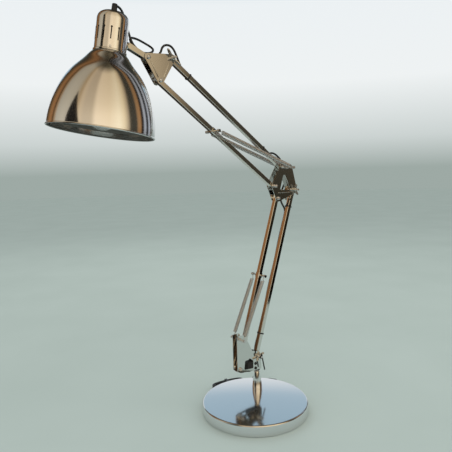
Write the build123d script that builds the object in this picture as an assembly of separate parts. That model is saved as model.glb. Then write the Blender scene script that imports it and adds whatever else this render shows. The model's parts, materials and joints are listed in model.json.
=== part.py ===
"""Spring-balanced desk lamp: a round weighted base, a swivelling fork and two parallelogram arms of
square tube, with a domed metal shade on a ventilated lampholder cup.

Millimetres. The origin is the middle of the base's underside and +Z is up. The arms fold in the
plane y = STEM_Y and reach towards -X. Left means -Y and right means +Y.
"""

from build123d import *
import os
from math import cos, radians, sin, tan

os.makedirs("parts", exist_ok=True)

# ---------------------------------------------------------------- base
BASE_D = 240.0
BASE_TOP = 25.0
BASE_EDGE_R = 3.5
COVER_T = 1.2
PAD_T = 2.0
PAD_MARGIN = 2.0
WEIGHT_D = 190.0
WEIGHT_EDGE = 2.0
BASE_BOLT_D = 8.0
BASE_BOLT_HEAD_D = 16.0
BASE_BOLT_HEAD_H = 5.0
BASE_BOLT_LIFT = 4.0
BASE_BOLT_REACH = 18.0

# ---------------------------------------------------------------- stem and swivel
STEM_X = 42.0
STEM_Y = 40.0
STEM_FOOT_D = 24.0
STEM_TOP_D = 12.0
STEM_H = 42.0
STEM_BELLY = 1.2
SPINDLE_D = 6.0
SPINDLE_DEPTH = 19.0
BUSH_WALL = 1.0
COLLAR_D = 11.0
COLLAR_H = 3.0
BLOCK_FRONT = 34.0  # from the stem's axis forwards
BLOCK_REAR = 8.0
BLOCK_LIFT = 9.0  # from the stem's top to the block's underside
BLOCK_H = 22.5
BLOCK_EDGE = 3.0
SPIGOT_D = 4.0
SPIGOT_HEAD_D = 6.8
SPIGOT_HEAD_H = 1.2
SPIGOT_X = 11.0

# ---------------------------------------------------------------- arms
TUBE = 10.0
TUBE_WALL = 1.0
TUBE_EDGE = 1.1
TUBE_END = 7.0
PLUG_FLANGE = 1.0
PLUG_DEPTH = 9.0
LOWER_LENGTH = 409.0
LOWER_LEAN = 18.5  # degrees back from upright
UPPER_LENGTH = 368.7
UPPER_RISE = 35.8  # degrees above level
LOWER_PAIR = 58.1  # between the pivots of the lower arm's two tubes
LOWER_PAIR_RISE = 18.25
UPPER_PAIR = 52.9
UPPER_PAIR_RISE = 58.0
BASE_STEP = (-57.5, 23.6)  # (x, z) from the stem's top to the lower arm's front pivot
ELBOW_STEP = (-12.5, 29.7)  # from the lower arm's front pivot to the upper arm's bottom pivot
NECK_STEP = (-24.7, 40.9)  # from the upper arm's bottom pivot to the neck's
CUP_STEP = (-39.2, 17.3)  # from the neck's pivot to the cup's screw
BASE_ANCHOR = (2.5, 69.4)  # from the lower arm's front pivot to its springs' pins
ELBOW_ANCHOR = (24.0, -2.4)  # from the upper arm's top pivot to its springs' pin

# ---------------------------------------------------------------- sheet brackets and fasteners
SHEET = 1.5
CHEEK_IN = 7.3  # from the arm plane to the inner face of a bracket's cheek
BOLT_D = 5.0
BOLT_HEAD_D = 9.0
BOLT_HEAD_H = 2.8
BOLT_SINK = 0.5  # how far a bolt's shank stands in its head
NUT_D = 8.0
NUT_H = 3.2
NUT_DOME = 1.2
BARREL_D = 7.2
BARREL_H = 9.0
CLAMP_REACH = 13.5  # how far a clamp bolt stands out of its bracket
PAD_D = 10.0
CHEEK_EDGE = 8.0  # from a pivot of the elbow bracket to its edge
HEAD_EDGE = 7.5
RIB_H = 0.6
RIB_W = 2.0
RUN = 0.05  # radial clearance of a running fit
GAP = 0.3  # between faces that pass each other
PAD_GAP = 0.1

# ---------------------------------------------------------------- springs
SPRING_D = 9.0
SPRING_SIDE = 18.5  # from the arm plane to a spring's axis
SPRING_PIN_D = 4.0
SPRING_PIN_HEAD_D = 6.5
SPRING_PIN_HEAD_H = 1.6
SPRING_PIN_OVER = 5.5  # how far a pin stands past a spring's axis
STUD_FLANGE_H = 2.0
SPRING_WIRE = 1.6
SPRING_LEAD = 12.0  # a hook and its shank
LOWER_CLIP_AT = 221.0  # along the lower front tube
UPPER_CLIP_AT = 209.5  # along the upper bottom tube
CLIP_LENGTH = 12.0

# ---------------------------------------------------------------- head
SHADE_D = 195.0
SHADE_H = 142.0
SHADE_T = 0.8
SHADE_LIP = 1.6
SHADE_NECK_R = 30.2
SHADE_SIDE = ((1, 0), (0.964, 0.246), (0.852, 0.493), (0.684, 0.704), (0.462, 0.88))  # (radius, height)
CUP_D = 58.4
CUP_T = 0.9
CUP_LIFT = 4.0  # from the shade's top to the cup
CUP_H = 69.0
CUP_SHOULDER = 15.0
VENTS = 14
VENT_FIRST = -141.0  # degrees round the cup
VENT_CLEAR = 14.0
VENT_LIFT = 15.0  # from the cup's edge to its vents
VENT_H = 23.0
VENT_W = 2.0
VENT_EYE_D = 3.6
NECK_SCREW_LIFT = 19.7  # from the cup's edge to the neck's screw
NECK_SCREW_D = 4.0
CUP_SCREW_LIFT = 2.6
SPIGOT_RISE = 5.0  # how far the collar stands in the cup
CUP_COLLAR_W = 1.6
CUP_SCREW_D = 2.4
HEAD_TILT = 8.5
HEAD_TURN = 3.0
NECK_W = 12.0
NECK_H = 10.0
NECK_T = 1.4
TAB_T = 1.8
HOLDER_D = 39.2
HOLDER_DROP = 58.0  # from the shade's top down to the lampholder's mouth
CAP_D = 26.4
CAP_DEPTH = 30.0
CAP_GAP = 0.4
BULB_D = 60.0
BULB_REACH = 81.0  # from the lampholder's mouth to the bulb's tip
BULB_NECK = ((0.096, 0.29), (0.49, 0.665))  # shares of the way from the cap to the ball, as (radius, height)
BUSH_D = 10.6
BUSH_H = 16.0

# ---------------------------------------------------------------- cord, its hank and plug
CORD_D = 4.4
HANK_GAP = 9.0  # from the base to the hank's inner lane
LANE_PITCH = 22.0
HANK_FROM = 66.0  # degrees round the base
HANK_TO = 90.0
LAYERS = 3
TIE_T = 1.0
TIE_W = 7.0
UPPER_TIES = (72.0, 52.7)  # from the upper arm's elbow end and from its head end
LOWER_TIES = (52.0, 43.0)  # from the lower arm's base end and from its elbow end
PLUG_L = 34.0
PLUG_W = 26.0
PLUG_T = 11.0
PLUG_NOSE = (4.0, 9.0)
PLUG_PIN_D = 4.0
PLUG_PIN_L = 19.0
PLUG_PITCH = 18.6


def polar(length, degrees):
    """A vector in the arm plane, at an angle above +X."""
    return Vector(length * cos(radians(degrees)), 0, length * sin(radians(degrees)))


def step(point, move):
    """The place at an (x, z) step from a point, in the arm plane."""
    return point + Vector(move[0], 0, move[1])


# ---------------------------------------------------------------- pivots, as points (x, STEM_Y, z)
STEM_TOP = BASE_TOP + STEM_H
lower_dir = polar(1, 90 - LOWER_LEAN)
upper_dir = polar(1, 180 - UPPER_RISE)
lower_pair = polar(LOWER_PAIR, LOWER_PAIR_RISE)
upper_pair = polar(UPPER_PAIR, UPPER_PAIR_RISE)

base_front = step(Vector(STEM_X, STEM_Y, STEM_TOP), BASE_STEP)
base_rear = base_front + lower_pair
elbow_low = base_front + lower_dir * LOWER_LENGTH
elbow_rear = base_rear + lower_dir * LOWER_LENGTH
elbow_front = step(elbow_low, ELBOW_STEP)
elbow_top = elbow_front + upper_pair
elbow_anchor = step(elbow_top, ELBOW_ANCHOR)
head_low = elbow_front + upper_dir * UPPER_LENGTH
head_rear = elbow_top + upper_dir * UPPER_LENGTH
neck_pivot = step(head_low, NECK_STEP)
cup_pivot = step(neck_pivot, CUP_STEP)
base_anchor = step(base_front, BASE_ANCHOR)
lower_clip = base_front + lower_dir * LOWER_CLIP_AT
upper_clip = elbow_front + upper_dir * UPPER_CLIP_AT

ARM = Plane(origin=(0, STEM_Y, 0), x_dir=(1, 0, 0), z_dir=(0, -1, 0))
BOLT_R = BOLT_D / 2
CHEEK_OUT = CHEEK_IN + SHEET
THROUGH = 4 * CHEEK_OUT  # longer than any piece that a bar cuts through
pin_reach = SPRING_SIDE + SPRING_PIN_OVER


# ---------------------------------------------------------------- shapes used again and again
def rod_y(point, radius, y_from, y_to):
    """A round bar along Y; its ends are measured from the arm plane."""
    middle = STEM_Y + (y_from + y_to) / 2
    return Pos(point.X, middle, point.Z) * Rot(90, 0, 0) * Cylinder(radius, abs(y_to - y_from))


def slab(outline, y_from, y_to):
    """A flat piece cut to an outline in the arm plane, between two distances from it."""
    low, high = sorted((y_from, y_to))
    return extrude(ARM.offset(-high) * outline, high - low)


def outline_of(points, corner):
    """A closed outline through (x, z) points with rounded corners."""
    face = make_face(Polyline(*points, close=True))
    return fillet(face.vertices(), corner)


def near(point, *moves):
    """(x, z) places at steps from a point."""
    return [(point.X + x, point.Z + z) for x, z in moves]


def around(points, radius):
    """The outline that a cord pulled round discs at these points would make."""
    discs = [Pos(p.X, p.Z) * Circle(radius) for p in points]
    return make_hull([edge for disc in discs for edge in disc.edges()])


def ridge(start, end):
    """The outline of a raised rib between two points."""
    return around([start, end], RIB_W / 2)


def frame_at(start, end):
    """A plane at start with its X towards end and its Z towards the left."""
    return Plane(origin=start, x_dir=end - start, z_dir=(0, -1, 0))


def arm_tube(start, end, pin_at=None):
    """A square tube between two pivots, drilled for them and for a spring pin."""
    length = (end - start).length
    body = Pos(length / 2, 0, 0) * Box(length + 2 * TUBE_END, TUBE, TUBE)
    body = fillet(body.edges().filter_by(Axis.X), TUBE_EDGE)
    inner = TUBE - 2 * TUBE_WALL
    body -= Pos(length / 2, 0, 0) * Box(length + 4 * TUBE_END, inner, inner)
    for x in (0, length):
        body -= Pos(x, 0, 0) * Cylinder(BOLT_R + GAP, 2 * TUBE)
    if pin_at:
        body -= Pos(pin_at, 0, 0) * Cylinder(SPRING_PIN_D / 2 + RUN, 2 * TUBE)
    return frame_at(start, end).location * body


def tube_plugs(start, end):
    """The two moulded plugs in a tube's ends, which carry the pivot bores."""
    length = (end - start).length
    inner = TUBE - 2 * TUBE_WALL
    plugs = []
    for x, out in ((0, -1), (length, 1)):
        flange_x = x + out * (TUBE_END + PLUG_FLANGE / 2)
        plug = Pos(flange_x, 0, 0) * Box(PLUG_FLANGE, TUBE, TUBE)
        plug = fillet(plug.edges().filter_by(Axis.X), TUBE_EDGE)
        depth = TUBE_END + PLUG_DEPTH
        plug += Pos(x + out * (TUBE_END - depth / 2), 0, 0) * Box(depth, inner, inner)
        plug -= Pos(x, 0, 0) * Cylinder(BOLT_R + RUN, 2 * TUBE)
        plugs.append(frame_at(start, end).location * plug)
    return Compound(children=plugs)


def pan_bolt(point, reach):
    """A bolt through a bracket: a domed head on the right cheek, its end at reach on the left."""
    head = rod_y(point, BOLT_HEAD_D / 2, CHEEK_OUT, CHEEK_OUT + BOLT_HEAD_H)
    rim = head.edges().filter_by(GeomType.CIRCLE).sort_by(Axis.Y)[-1]
    head = fillet(rim, BOLT_HEAD_H * 0.75)
    return head + rod_y(point, BOLT_R, -reach, CHEEK_OUT + BOLT_SINK)


def cap_nut(point):
    """A domed nut on the left end of a bolt."""
    y_from = -(CHEEK_OUT + NUT_H)
    nut = rod_y(point, NUT_D / 2, y_from - NUT_DOME, -CHEEK_OUT)
    rim = nut.edges().filter_by(GeomType.CIRCLE).sort_by(Axis.Y)[0]
    nut = fillet(rim, NUT_D * 0.35)
    return nut - rod_y(point, BOLT_R, y_from, 0)


def wing_nut(point, span, turn):
    """A cast wing nut that runs on the left end of a clamp bolt."""
    y_face = -(CHEEK_OUT + PAD_GAP)
    hub = rod_y(point, 4.6, y_face - 6.5, y_face)
    hub = chamfer(hub.edges().filter_by(GeomType.CIRCLE).sort_by(Axis.Y)[0], 1.2)
    ear = [(2.5, 0.8), (span * 0.30, 1.8), (span * 0.5, 7.5), (span * 0.40, 10.5), (2.5, 5.5)]
    wing = Polyline(*ear, close=True)
    wing = fillet(make_face(wing).vertices().sort_by(Axis.X)[-3:], 1.6)
    wing = extrude(Plane.XZ * wing, 1.1, both=True)
    nut = hub
    for flip in (0, 180):
        place = Pos(point.X, STEM_Y + y_face, point.Z) * Rot(0, turn + flip, 0) * Rot(90, 0, 0)
        nut += place * wing
    return nut - rod_y(point, BOLT_R + RUN, y_face - 20, y_face + 5)


def headed_pin(point, half_length):
    """A spring pin along Y with a round head at each end."""
    pin = rod_y(point, SPRING_PIN_D / 2, -half_length, half_length)
    for side in (-1, 1):
        head_at = half_length - SPRING_PIN_HEAD_H
        pin += rod_y(point, SPRING_PIN_HEAD_D / 2, side * head_at, side * half_length)
    return pin


def spring(start, end, side):
    """A closed tension spring as a sleeve, with a hook round a pin at each end."""
    length = (end - start).length
    hook_r = (SPRING_PIN_D + SPRING_WIRE) / 2 + GAP
    body = Pos(length / 2, 0, 0) * Rot(0, 90, 0) * Cylinder(SPRING_D / 2, length - 2 * SPRING_LEAD)
    body = chamfer(body.edges().filter_by(GeomType.CIRCLE), SPRING_WIRE)
    for x, out in ((0, 1), (length, -1)):
        body += Pos(x, 0, 0) * Torus(hook_r, SPRING_WIRE / 2)
        shank = SPRING_LEAD + 1 - hook_r
        body += Pos(x + out * (hook_r + shank / 2), 0, 0) * Rot(0, 90, 0) * Cylinder(SPRING_WIRE / 2, shank)
    place = frame_at(start, end).offset(-side * SPRING_SIDE)
    return place.location * body


def tube_clip(start, end, at):
    """A sheet saddle folded round a tube, drilled for its spring pin."""
    outer = TUBE + 2 * 1.2
    clip = Pos(at, 0, 0) * Box(CLIP_LENGTH, outer, outer)
    clip = fillet(clip.edges().filter_by(Axis.X), TUBE_EDGE + 1.2)
    core = Pos(at, 0, 0) * Box(2 * CLIP_LENGTH, TUBE, TUBE)
    clip -= fillet(core.edges().filter_by(Axis.X), TUBE_EDGE)
    clip -= Pos(at, 0, 0) * Cylinder(SPRING_PIN_D / 2, 2 * outer)
    return frame_at(start, end).location * clip


def cord(name, points):
    """A round cord through points with rounded corners; prints its bend radii and length."""
    route = [Vector(*p) for p in points]
    radii = []
    for i in range(1, len(route) - 1):
        first, second = route[i] - route[i - 1], route[i + 1] - route[i]
        half_turn = radians(first.get_angle(second)) / 2
        reach_in = first.length * (0.9 if i == 1 else 0.45)
        reach_out = second.length * (0.9 if i == len(route) - 2 else 0.45)
        radii.append(min(reach_in, reach_out) / tan(half_turn))
    path = FilletPolyline(*route, radius=radii) if radii else Line(*route)
    section = Plane(origin=route[0], z_dir=route[1] - route[0]) * Circle(CORD_D / 2)
    tube = sweep(section, path=path)
    expected = 3.14159 * CORD_D**2 / 4 * path.length
    smallest = min(radii) if radii else 0
    print(f"{name}: {path.length:.0f} mm, least radius {smallest:.1f}, volume {tube.volume / expected:.3f}")
    return tube


def cord_tie(start, end, at, tail):
    """A strap tie round an arm tube and the cord on its right face."""
    foot = start + (end - start).normalized() * at
    across = Plane(origin=foot, x_dir=(0, 1, 0), z_dir=end - start)
    square = Rectangle(TUBE, TUBE)
    lead = Pos(TUBE / 2 + CORD_D / 2) * Circle(CORD_D / 2 + GAP)
    core = make_hull(square.edges() + lead.edges())
    strap = extrude(across.offset(-1.5) * (offset(core, 1.0) - core), 3.0)
    head = Pos(TUBE / 2 + CORD_D / 2, -(TUBE / 2 + 1.5)) * Rectangle(5.0, 4.0)
    strap += extrude(across.offset(-2.5) * head, 5.0) - extrude(across.offset(-5) * core, 10.0)
    if tail:
        end_strip = Pos(TUBE / 2 + CORD_D / 2 - 1, -(TUBE / 2 + 5.0)) * Rectangle(1.2, 9.0)
        strap += extrude(across.offset(-1.2) * end_strip, 2.4)
    return strap


def polar_point(radius, degrees, z):
    """A point round the middle of the base."""
    return (radius * cos(radians(degrees)), radius * sin(radians(degrees)), z)


def between(first, second, share=0.5):
    """A point part of the way along a straight run."""
    return tuple(a + (b - a) * share for a, b in zip(first, second))


# ================================================================ base
stem_at = Pos(STEM_X, STEM_Y, 0)
bore_r = BASE_BOLT_D / 2
base_r = BASE_D / 2

pad = Pos(0, 0, PAD_T / 2) * Cylinder(base_r - COVER_T - 0.2, PAD_T)
pad -= stem_at * Cylinder(13, 3 * PAD_T)
export_step(pad, "parts/base_pad.step")

cover_h = BASE_TOP - PAD_T / 2
cover = Pos(0, 0, BASE_TOP - cover_h / 2) * Cylinder(base_r, cover_h)
cover = fillet(cover.edges().sort_by(Axis.Z)[-1], BASE_EDGE_R)
hollow = Pos(0, 0, BASE_TOP - COVER_T - cover_h / 2) * Cylinder(base_r - COVER_T, cover_h)
hollow = fillet(hollow.edges().sort_by(Axis.Z)[-1], BASE_EDGE_R - COVER_T)
cover = cover - hollow - stem_at * Pos(0, 0, BASE_TOP) * Cylinder(bore_r + 0.2, 10)
export_step(cover, "parts/base_cover.step")

weight_top = BASE_TOP - COVER_T
weight_h = weight_top - PAD_T
weight = Pos(0, 0, PAD_T + weight_h / 2) * Cylinder(WEIGHT_D / 2, weight_h)
weight = chamfer(weight.edges().sort_by(Axis.Z)[-1], WEIGHT_EDGE)
recess_top = BASE_BOLT_LIFT + BASE_BOLT_HEAD_H
weight -= stem_at * Cylinder(bore_r + 0.2, 4 * BASE_TOP)
weight -= stem_at * Pos(0, 0, recess_top / 2) * Cylinder(11, recess_top)
export_step(weight, "parts/base_weight.step")

hexagon = RegularPolygon(BASE_BOLT_HEAD_D / 2, 6)
screw = stem_at * Pos(0, 0, BASE_BOLT_LIFT) * extrude(hexagon, BASE_BOLT_HEAD_H)
shank_h = BASE_TOP + BASE_BOLT_REACH - recess_top
screw += stem_at * Pos(0, 0, recess_top + shank_h / 2) * Cylinder(bore_r, shank_h)
export_step(screw, "parts/stem_screw.step")

foot_r = STEM_FOOT_D / 2
top_r = STEM_TOP_D / 2
belly = ((foot_r + top_r) / 2 + STEM_BELLY, BASE_TOP + STEM_H / 2)
stem_side = [
    Line((0, BASE_TOP), (foot_r, BASE_TOP)),
    ThreePointArc((foot_r, BASE_TOP), belly, (top_r, STEM_TOP)),
    Line((top_r, STEM_TOP), (0, STEM_TOP)),
    Line((0, STEM_TOP), (0, BASE_TOP)),
]
stem = revolve(Plane.XZ * make_face(stem_side), Axis.Z)
stem -= Pos(0, 0, BASE_TOP + 10) * Cylinder(bore_r, 20)
bush_r = SPINDLE_D / 2 + RUN + BUSH_WALL
bush_h = SPINDLE_DEPTH + 1
stem -= Pos(0, 0, STEM_TOP - bush_h / 2) * Cylinder(bush_r, bush_h)
export_step(stem_at * stem, "parts/stem.step")

bush = Pos(0, 0, STEM_TOP - bush_h / 2) * Cylinder(bush_r, bush_h)
bush += Pos(0, 0, STEM_TOP + 0.5) * Cylinder(COLLAR_D / 2, 1)
bush -= Pos(0, 0, STEM_TOP) * Cylinder(SPINDLE_D / 2 + RUN, 4 * bush_h)
export_step(stem_at * bush, "parts/stem_bush.step")

# ================================================================ swivel
collar_z = STEM_TOP + 1 + PAD_GAP
block_z = collar_z + COLLAR_H
spindle_foot = STEM_TOP - SPINDLE_DEPTH
block_foot = STEM_TOP + BLOCK_LIFT
block_top = block_foot + BLOCK_H
spindle_top = block_top - 6
spindle = Pos(0, 0, (spindle_foot + spindle_top) / 2) * Cylinder(SPINDLE_D / 2, spindle_top - spindle_foot)
spindle = chamfer(spindle.edges().sort_by(Axis.Z)[0], 0.6)
spindle += Pos(0, 0, collar_z + COLLAR_H / 2) * Cylinder(COLLAR_D / 2, COLLAR_H)
export_step(stem_at * spindle, "parts/swivel_spindle.step")

block_at = stem_at * Pos((BLOCK_REAR - BLOCK_FRONT) / 2, 0, block_foot + BLOCK_H / 2)
block = block_at * Box(BLOCK_FRONT + BLOCK_REAR, 2 * CHEEK_IN, BLOCK_H)
block = fillet(block.edges().filter_by(Axis.Y), BLOCK_EDGE)
hub_h = block_foot - block_z
block += stem_at * Pos(0, 0, block_z + hub_h / 2 + 0.5) * Cylinder(CHEEK_IN - 0.1, hub_h + 1)
bore_h = spindle_top - block_z
block -= stem_at * Pos(0, 0, block_z + bore_h / 2) * Cylinder(SPINDLE_D / 2, bore_h)
spigot_points = [Vector(STEM_X - SPIGOT_X, 0, z) for z in (block_foot + 5, block_top - 6.5)]
for point in spigot_points:
    block += rod_y(point, SPIGOT_D / 2, -CHEEK_OUT, CHEEK_OUT)
    for side in (-1, 1):
        block += rod_y(point, SPIGOT_HEAD_D / 2, side * CHEEK_OUT, side * (CHEEK_OUT + SPIGOT_HEAD_H))
export_step(block, "parts/swivel_block.step")

base_edge = near(base_anchor, (-10, 10), (8, 10), (23.5, -13))
base_edge += near(base_rear, (-18.7, 17.2), (3.3, 9.2), (9.3, 2.2))
base_edge += [(base_rear.X + 9.3, base_front.Z - 15.6)]
base_edge += near(base_front, (37.5, -14.1), (1.5, -9.6), (-7.5, -4.6))
base_outline = outline_of(base_edge, 3.5)
window_edge = near(base_front, (11.5, -4.6), (14.5, 15.4), (29.5, 18.4))
window_edge += near(base_rear, (-15.7, -7.8), (-15.7, -26.3))
base_window = outline_of(window_edge, 2.5)
base_holes = [base_front, base_rear]
base_cheeks = {}
cheek_nodes = ((-1, "left"), (1, "right"))
for side, name in cheek_nodes:
    cheek = slab(base_outline - base_window, side * CHEEK_IN, side * CHEEK_OUT)
    for point in base_holes:
        cheek += rod_y(point, PAD_D / 2, side * (TUBE / 2 + PAD_GAP), side * CHEEK_IN)
    for point in base_holes:
        cheek -= rod_y(point, BOLT_R, -THROUGH, THROUGH)
    for point in spigot_points:
        cheek -= rod_y(point, SPIGOT_D / 2, -THROUGH, THROUGH)
    base_cheeks[name] = cheek - rod_y(base_anchor, SPRING_PIN_D / 2, -THROUGH, THROUGH)
export_step(base_cheeks["left"], "parts/base_cheek_left.step")

studs = []
for side in (-1, 1):
    stud = rod_y(base_anchor, SPRING_PIN_D / 2, side * CHEEK_IN, side * pin_reach)
    for head_from, head_h in ((pin_reach - SPRING_PIN_HEAD_H, SPRING_PIN_HEAD_H), (CHEEK_OUT, STUD_FLANGE_H)):
        stud += rod_y(base_anchor, SPRING_PIN_HEAD_D / 2, side * head_from, side * (head_from + head_h))
    studs.append(stud)
export_step(Compound(children=studs), "parts/base_spring_studs.step")

nut_reach = CHEEK_OUT + NUT_H
clamp_reach = CHEEK_OUT + CLAMP_REACH
base_bolts = [pan_bolt(base_front, nut_reach), pan_bolt(base_rear, clamp_reach)]
export_step(Compound(children=base_bolts), "parts/base_bolts.step")
export_step(cap_nut(base_front), "parts/base_cap_nut.step")
export_step(wing_nut(base_rear, 28, -35), "parts/base_wing_nut.step")

# ================================================================ lower arm
export_step(arm_tube(base_front, elbow_low, LOWER_CLIP_AT), "parts/lower_front_tube.step")
export_step(tube_plugs(base_front, elbow_low), "parts/lower_front_plugs.step")
export_step(arm_tube(base_rear, elbow_rear), "parts/lower_rear_tube.step")
export_step(tube_plugs(base_rear, elbow_rear), "parts/lower_rear_plugs.step")
lower_saddle = tube_clip(base_front, elbow_low, LOWER_CLIP_AT) + headed_pin(lower_clip, pin_reach)
export_step(lower_saddle, "parts/lower_spring_clip.step")
for side, name in cheek_nodes:
    export_step(spring(base_anchor, lower_clip, side), f"parts/lower_spring_{name}.step")

# ================================================================ elbow
elbow_pivots = [elbow_low, elbow_rear, elbow_front, elbow_top]
elbow_toe = step(elbow_rear, (-12.5, -22.7))
elbow_outline = around(elbow_pivots + [elbow_anchor], CHEEK_EDGE) + around([elbow_rear, elbow_toe], 3.5)
opening_edge = near(elbow_low, (5.7, 18.5)) + near(elbow_rear, (-13.5, 0.3)) + near(elbow_top, (3.7, -13))
elbow_opening = outline_of(opening_edge, 4)
elbow_rib = ridge(step(elbow_low, (0.7, 13)), step(elbow_rear, (-7.5, -5.2)))
for side, name in cheek_nodes:
    cheek = slab(elbow_outline - elbow_opening, side * CHEEK_IN, side * CHEEK_OUT)
    cheek += slab(elbow_rib, side * CHEEK_OUT, side * (CHEEK_OUT + RIB_H))
    for point in elbow_pivots:
        cheek += rod_y(point, PAD_D / 2, side * (TUBE / 2 + PAD_GAP), side * CHEEK_IN)
    for point in elbow_pivots:
        cheek -= rod_y(point, BOLT_R, -THROUGH, THROUGH)
    cheek -= rod_y(elbow_anchor, SPRING_PIN_D / 2, -THROUGH, THROUGH)
    export_step(cheek, f"parts/elbow_cheek_{name}.step")

long_reach = CHEEK_OUT + 6
elbow_bolts = [
    pan_bolt(elbow_low, nut_reach),
    pan_bolt(elbow_rear, clamp_reach),
    pan_bolt(elbow_front, long_reach),
    pan_bolt(elbow_top, nut_reach),
]
export_step(Compound(children=elbow_bolts), "parts/elbow_bolts.step")
barrel = rod_y(elbow_front, BARREL_D / 2, -CHEEK_OUT, -(CHEEK_OUT + BARREL_H))
barrel = fillet(barrel.edges().filter_by(GeomType.CIRCLE).sort_by(Axis.Y)[0], 2.0)
barrel -= rod_y(elbow_front, BOLT_R, -long_reach, 0)
elbow_nuts = [cap_nut(elbow_low), cap_nut(elbow_top), barrel]
export_step(Compound(children=elbow_nuts), "parts/elbow_cap_nuts.step")
export_step(headed_pin(elbow_anchor, pin_reach), "parts/elbow_spring_pin.step")
export_step(wing_nut(elbow_rear, 28, 80), "parts/elbow_wing_nut.step")

# ================================================================ upper arm
export_step(arm_tube(elbow_top, head_rear), "parts/upper_top_tube.step")
export_step(tube_plugs(elbow_top, head_rear), "parts/upper_top_plugs.step")
export_step(arm_tube(elbow_front, head_low, UPPER_CLIP_AT), "parts/upper_bottom_tube.step")
export_step(tube_plugs(elbow_front, head_low), "parts/upper_bottom_plugs.step")
upper_saddle = tube_clip(elbow_front, head_low, UPPER_CLIP_AT) + headed_pin(upper_clip, pin_reach)
export_step(upper_saddle, "parts/upper_spring_clip.step")
for side, name in cheek_nodes:
    export_step(spring(elbow_anchor, upper_clip, side), f"parts/upper_spring_{name}.step")

# ================================================================ head bracket and neck
head_pivots = [head_low, head_rear, neck_pivot]
head_outline = around(head_pivots, HEAD_EDGE)
vee = [
    ridge(step(head_low, (-19.7, 34.7)), step(head_low, (-5.2, 5.2))),
    ridge(step(head_low, (21.3, 34.7)), step(head_low, (6.8, 5.2))),
]
for side, name in cheek_nodes:
    cheek = slab(head_outline, side * CHEEK_IN, side * CHEEK_OUT)
    for rib in vee:
        cheek += slab(rib & head_outline, side * CHEEK_OUT, side * (CHEEK_OUT + RIB_H))
    for point, inner in zip(head_pivots, (TUBE / 2, TUBE / 2, NECK_W / 2)):
        cheek += rod_y(point, PAD_D / 2, side * (inner + PAD_GAP), side * CHEEK_IN)
        cheek -= rod_y(point, BOLT_R, -THROUGH, THROUGH)
    export_step(cheek, f"parts/head_cheek_{name}.step")

head_bolts = [
    pan_bolt(head_low, nut_reach),
    pan_bolt(head_rear, clamp_reach),
    pan_bolt(neck_pivot, nut_reach),
]
export_step(Compound(children=head_bolts), "parts/head_bolts.step")
head_nuts = [cap_nut(head_low), cap_nut(neck_pivot)]
export_step(Compound(children=head_nuts), "parts/head_cap_nuts.step")
export_step(wing_nut(head_rear, 44, 45), "parts/head_wing_nut.step")

cup_r = CUP_D / 2
cup_foot = SHADE_H + CUP_LIFT
cup_top = cup_foot + CUP_H
neck_z = cup_foot + NECK_SCREW_LIFT
boss_face = cup_r + 2.3
tab_x = boss_face + PAD_GAP
HEAD = Pos(*cup_pivot) * Rot(0, HEAD_TILT, 0) * Rot(HEAD_TURN, 0, 0) * Pos(-(tab_x + 0.5), 0, -neck_z)


def along_neck_screw(radius, x_from, x_to):
    """A round bar on the neck screw's axis, measured from the cup's axis."""
    return HEAD * Pos((x_from + x_to) / 2, 0, neck_z) * Rot(0, 90, 0) * Cylinder(radius, x_to - x_from)


neck_length = (cup_pivot - neck_pivot).length
neck = Pos(neck_length / 2, 0, 0) * Box(neck_length, NECK_H, NECK_W)
neck += Cylinder(NECK_H / 2, NECK_W)
neck -= Pos(neck_length / 2, NECK_T, 0) * Box(2 * neck_length, NECK_H, NECK_W - 2 * NECK_T)
neck -= Cylinder(BOLT_R + RUN, 2 * NECK_W)
neck = frame_at(neck_pivot, cup_pivot).location * neck
neck -= HEAD * Pos(tab_x - 20, 0, neck_z) * Box(40, 60, 60)
neck -= along_neck_screw(3.6, tab_x, tab_x + 7)
neck += along_neck_screw(6.4, tab_x, tab_x + TAB_T)
neck -= along_neck_screw(NECK_SCREW_D / 2 + RUN, tab_x - 5, tab_x + 5)
export_step(neck, "parts/neck_arm.step")

# ================================================================ head, built round the shade's axis
cup = Pos(0, 0, cup_foot + CUP_H / 2) * Cylinder(cup_r, CUP_H)
cup = fillet(cup.edges().sort_by(Axis.Z)[-1], CUP_SHOULDER)
cup_core = Pos(0, 0, cup_foot - CUP_T + CUP_H / 2) * Cylinder(cup_r - CUP_T, CUP_H)
cup_core = fillet(cup_core.edges().sort_by(Axis.Z)[-1], CUP_SHOULDER - CUP_T)
cup -= cup_core
boss = Pos(cup_r + 0.5, 0, neck_z) * Rot(0, 90, 0) * Cylinder(6, 4)
boss -= Pos(0, 0, neck_z) * Cylinder(cup_r - 0.2, 40)
boss -= Pos(boss_face + 5, 0, neck_z) * Box(10, 40, 40)
cup += boss
cup += Pos(cup_r - 2.7, 0, neck_z) * Rot(0, 90, 0) * Cylinder(4.5, 4.4)
vent_foot = cup_foot + VENT_LIFT
eye_z = vent_foot + VENT_H - VENT_EYE_D / 2
keyhole = Pos(cup_r, 0, (vent_foot + eye_z) / 2) * Box(10, VENT_W, eye_z - vent_foot)
keyhole += Pos(cup_r, 0, eye_z) * Rot(0, 90, 0) * Cylinder(VENT_EYE_D / 2, 10)
for i in range(VENTS):
    angle = VENT_FIRST + i * 360 / VENTS
    if cos(radians(angle)) < cos(radians(VENT_CLEAR)):
        cup -= Rot(0, 0, angle) * keyhole
cup -= Pos(cup_r, 0, neck_z) * Rot(0, 90, 0) * Cylinder(NECK_SCREW_D / 2, 20)
bush_r = BUSH_D / 2
bush_neck_r = bush_r - 1.3
cup -= Pos(0, 0, cup_top) * Cylinder(bush_neck_r, 10)
SCREW_ANGLES = (-114, 6, 126)
cup_screw_z = cup_foot + CUP_SCREW_LIFT
for angle in SCREW_ANGLES:
    cup -= Rot(0, 0, angle) * Pos(cup_r, 0, cup_screw_z) * Rot(0, 90, 0) * Cylinder(CUP_SCREW_D / 2, 10)
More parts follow.
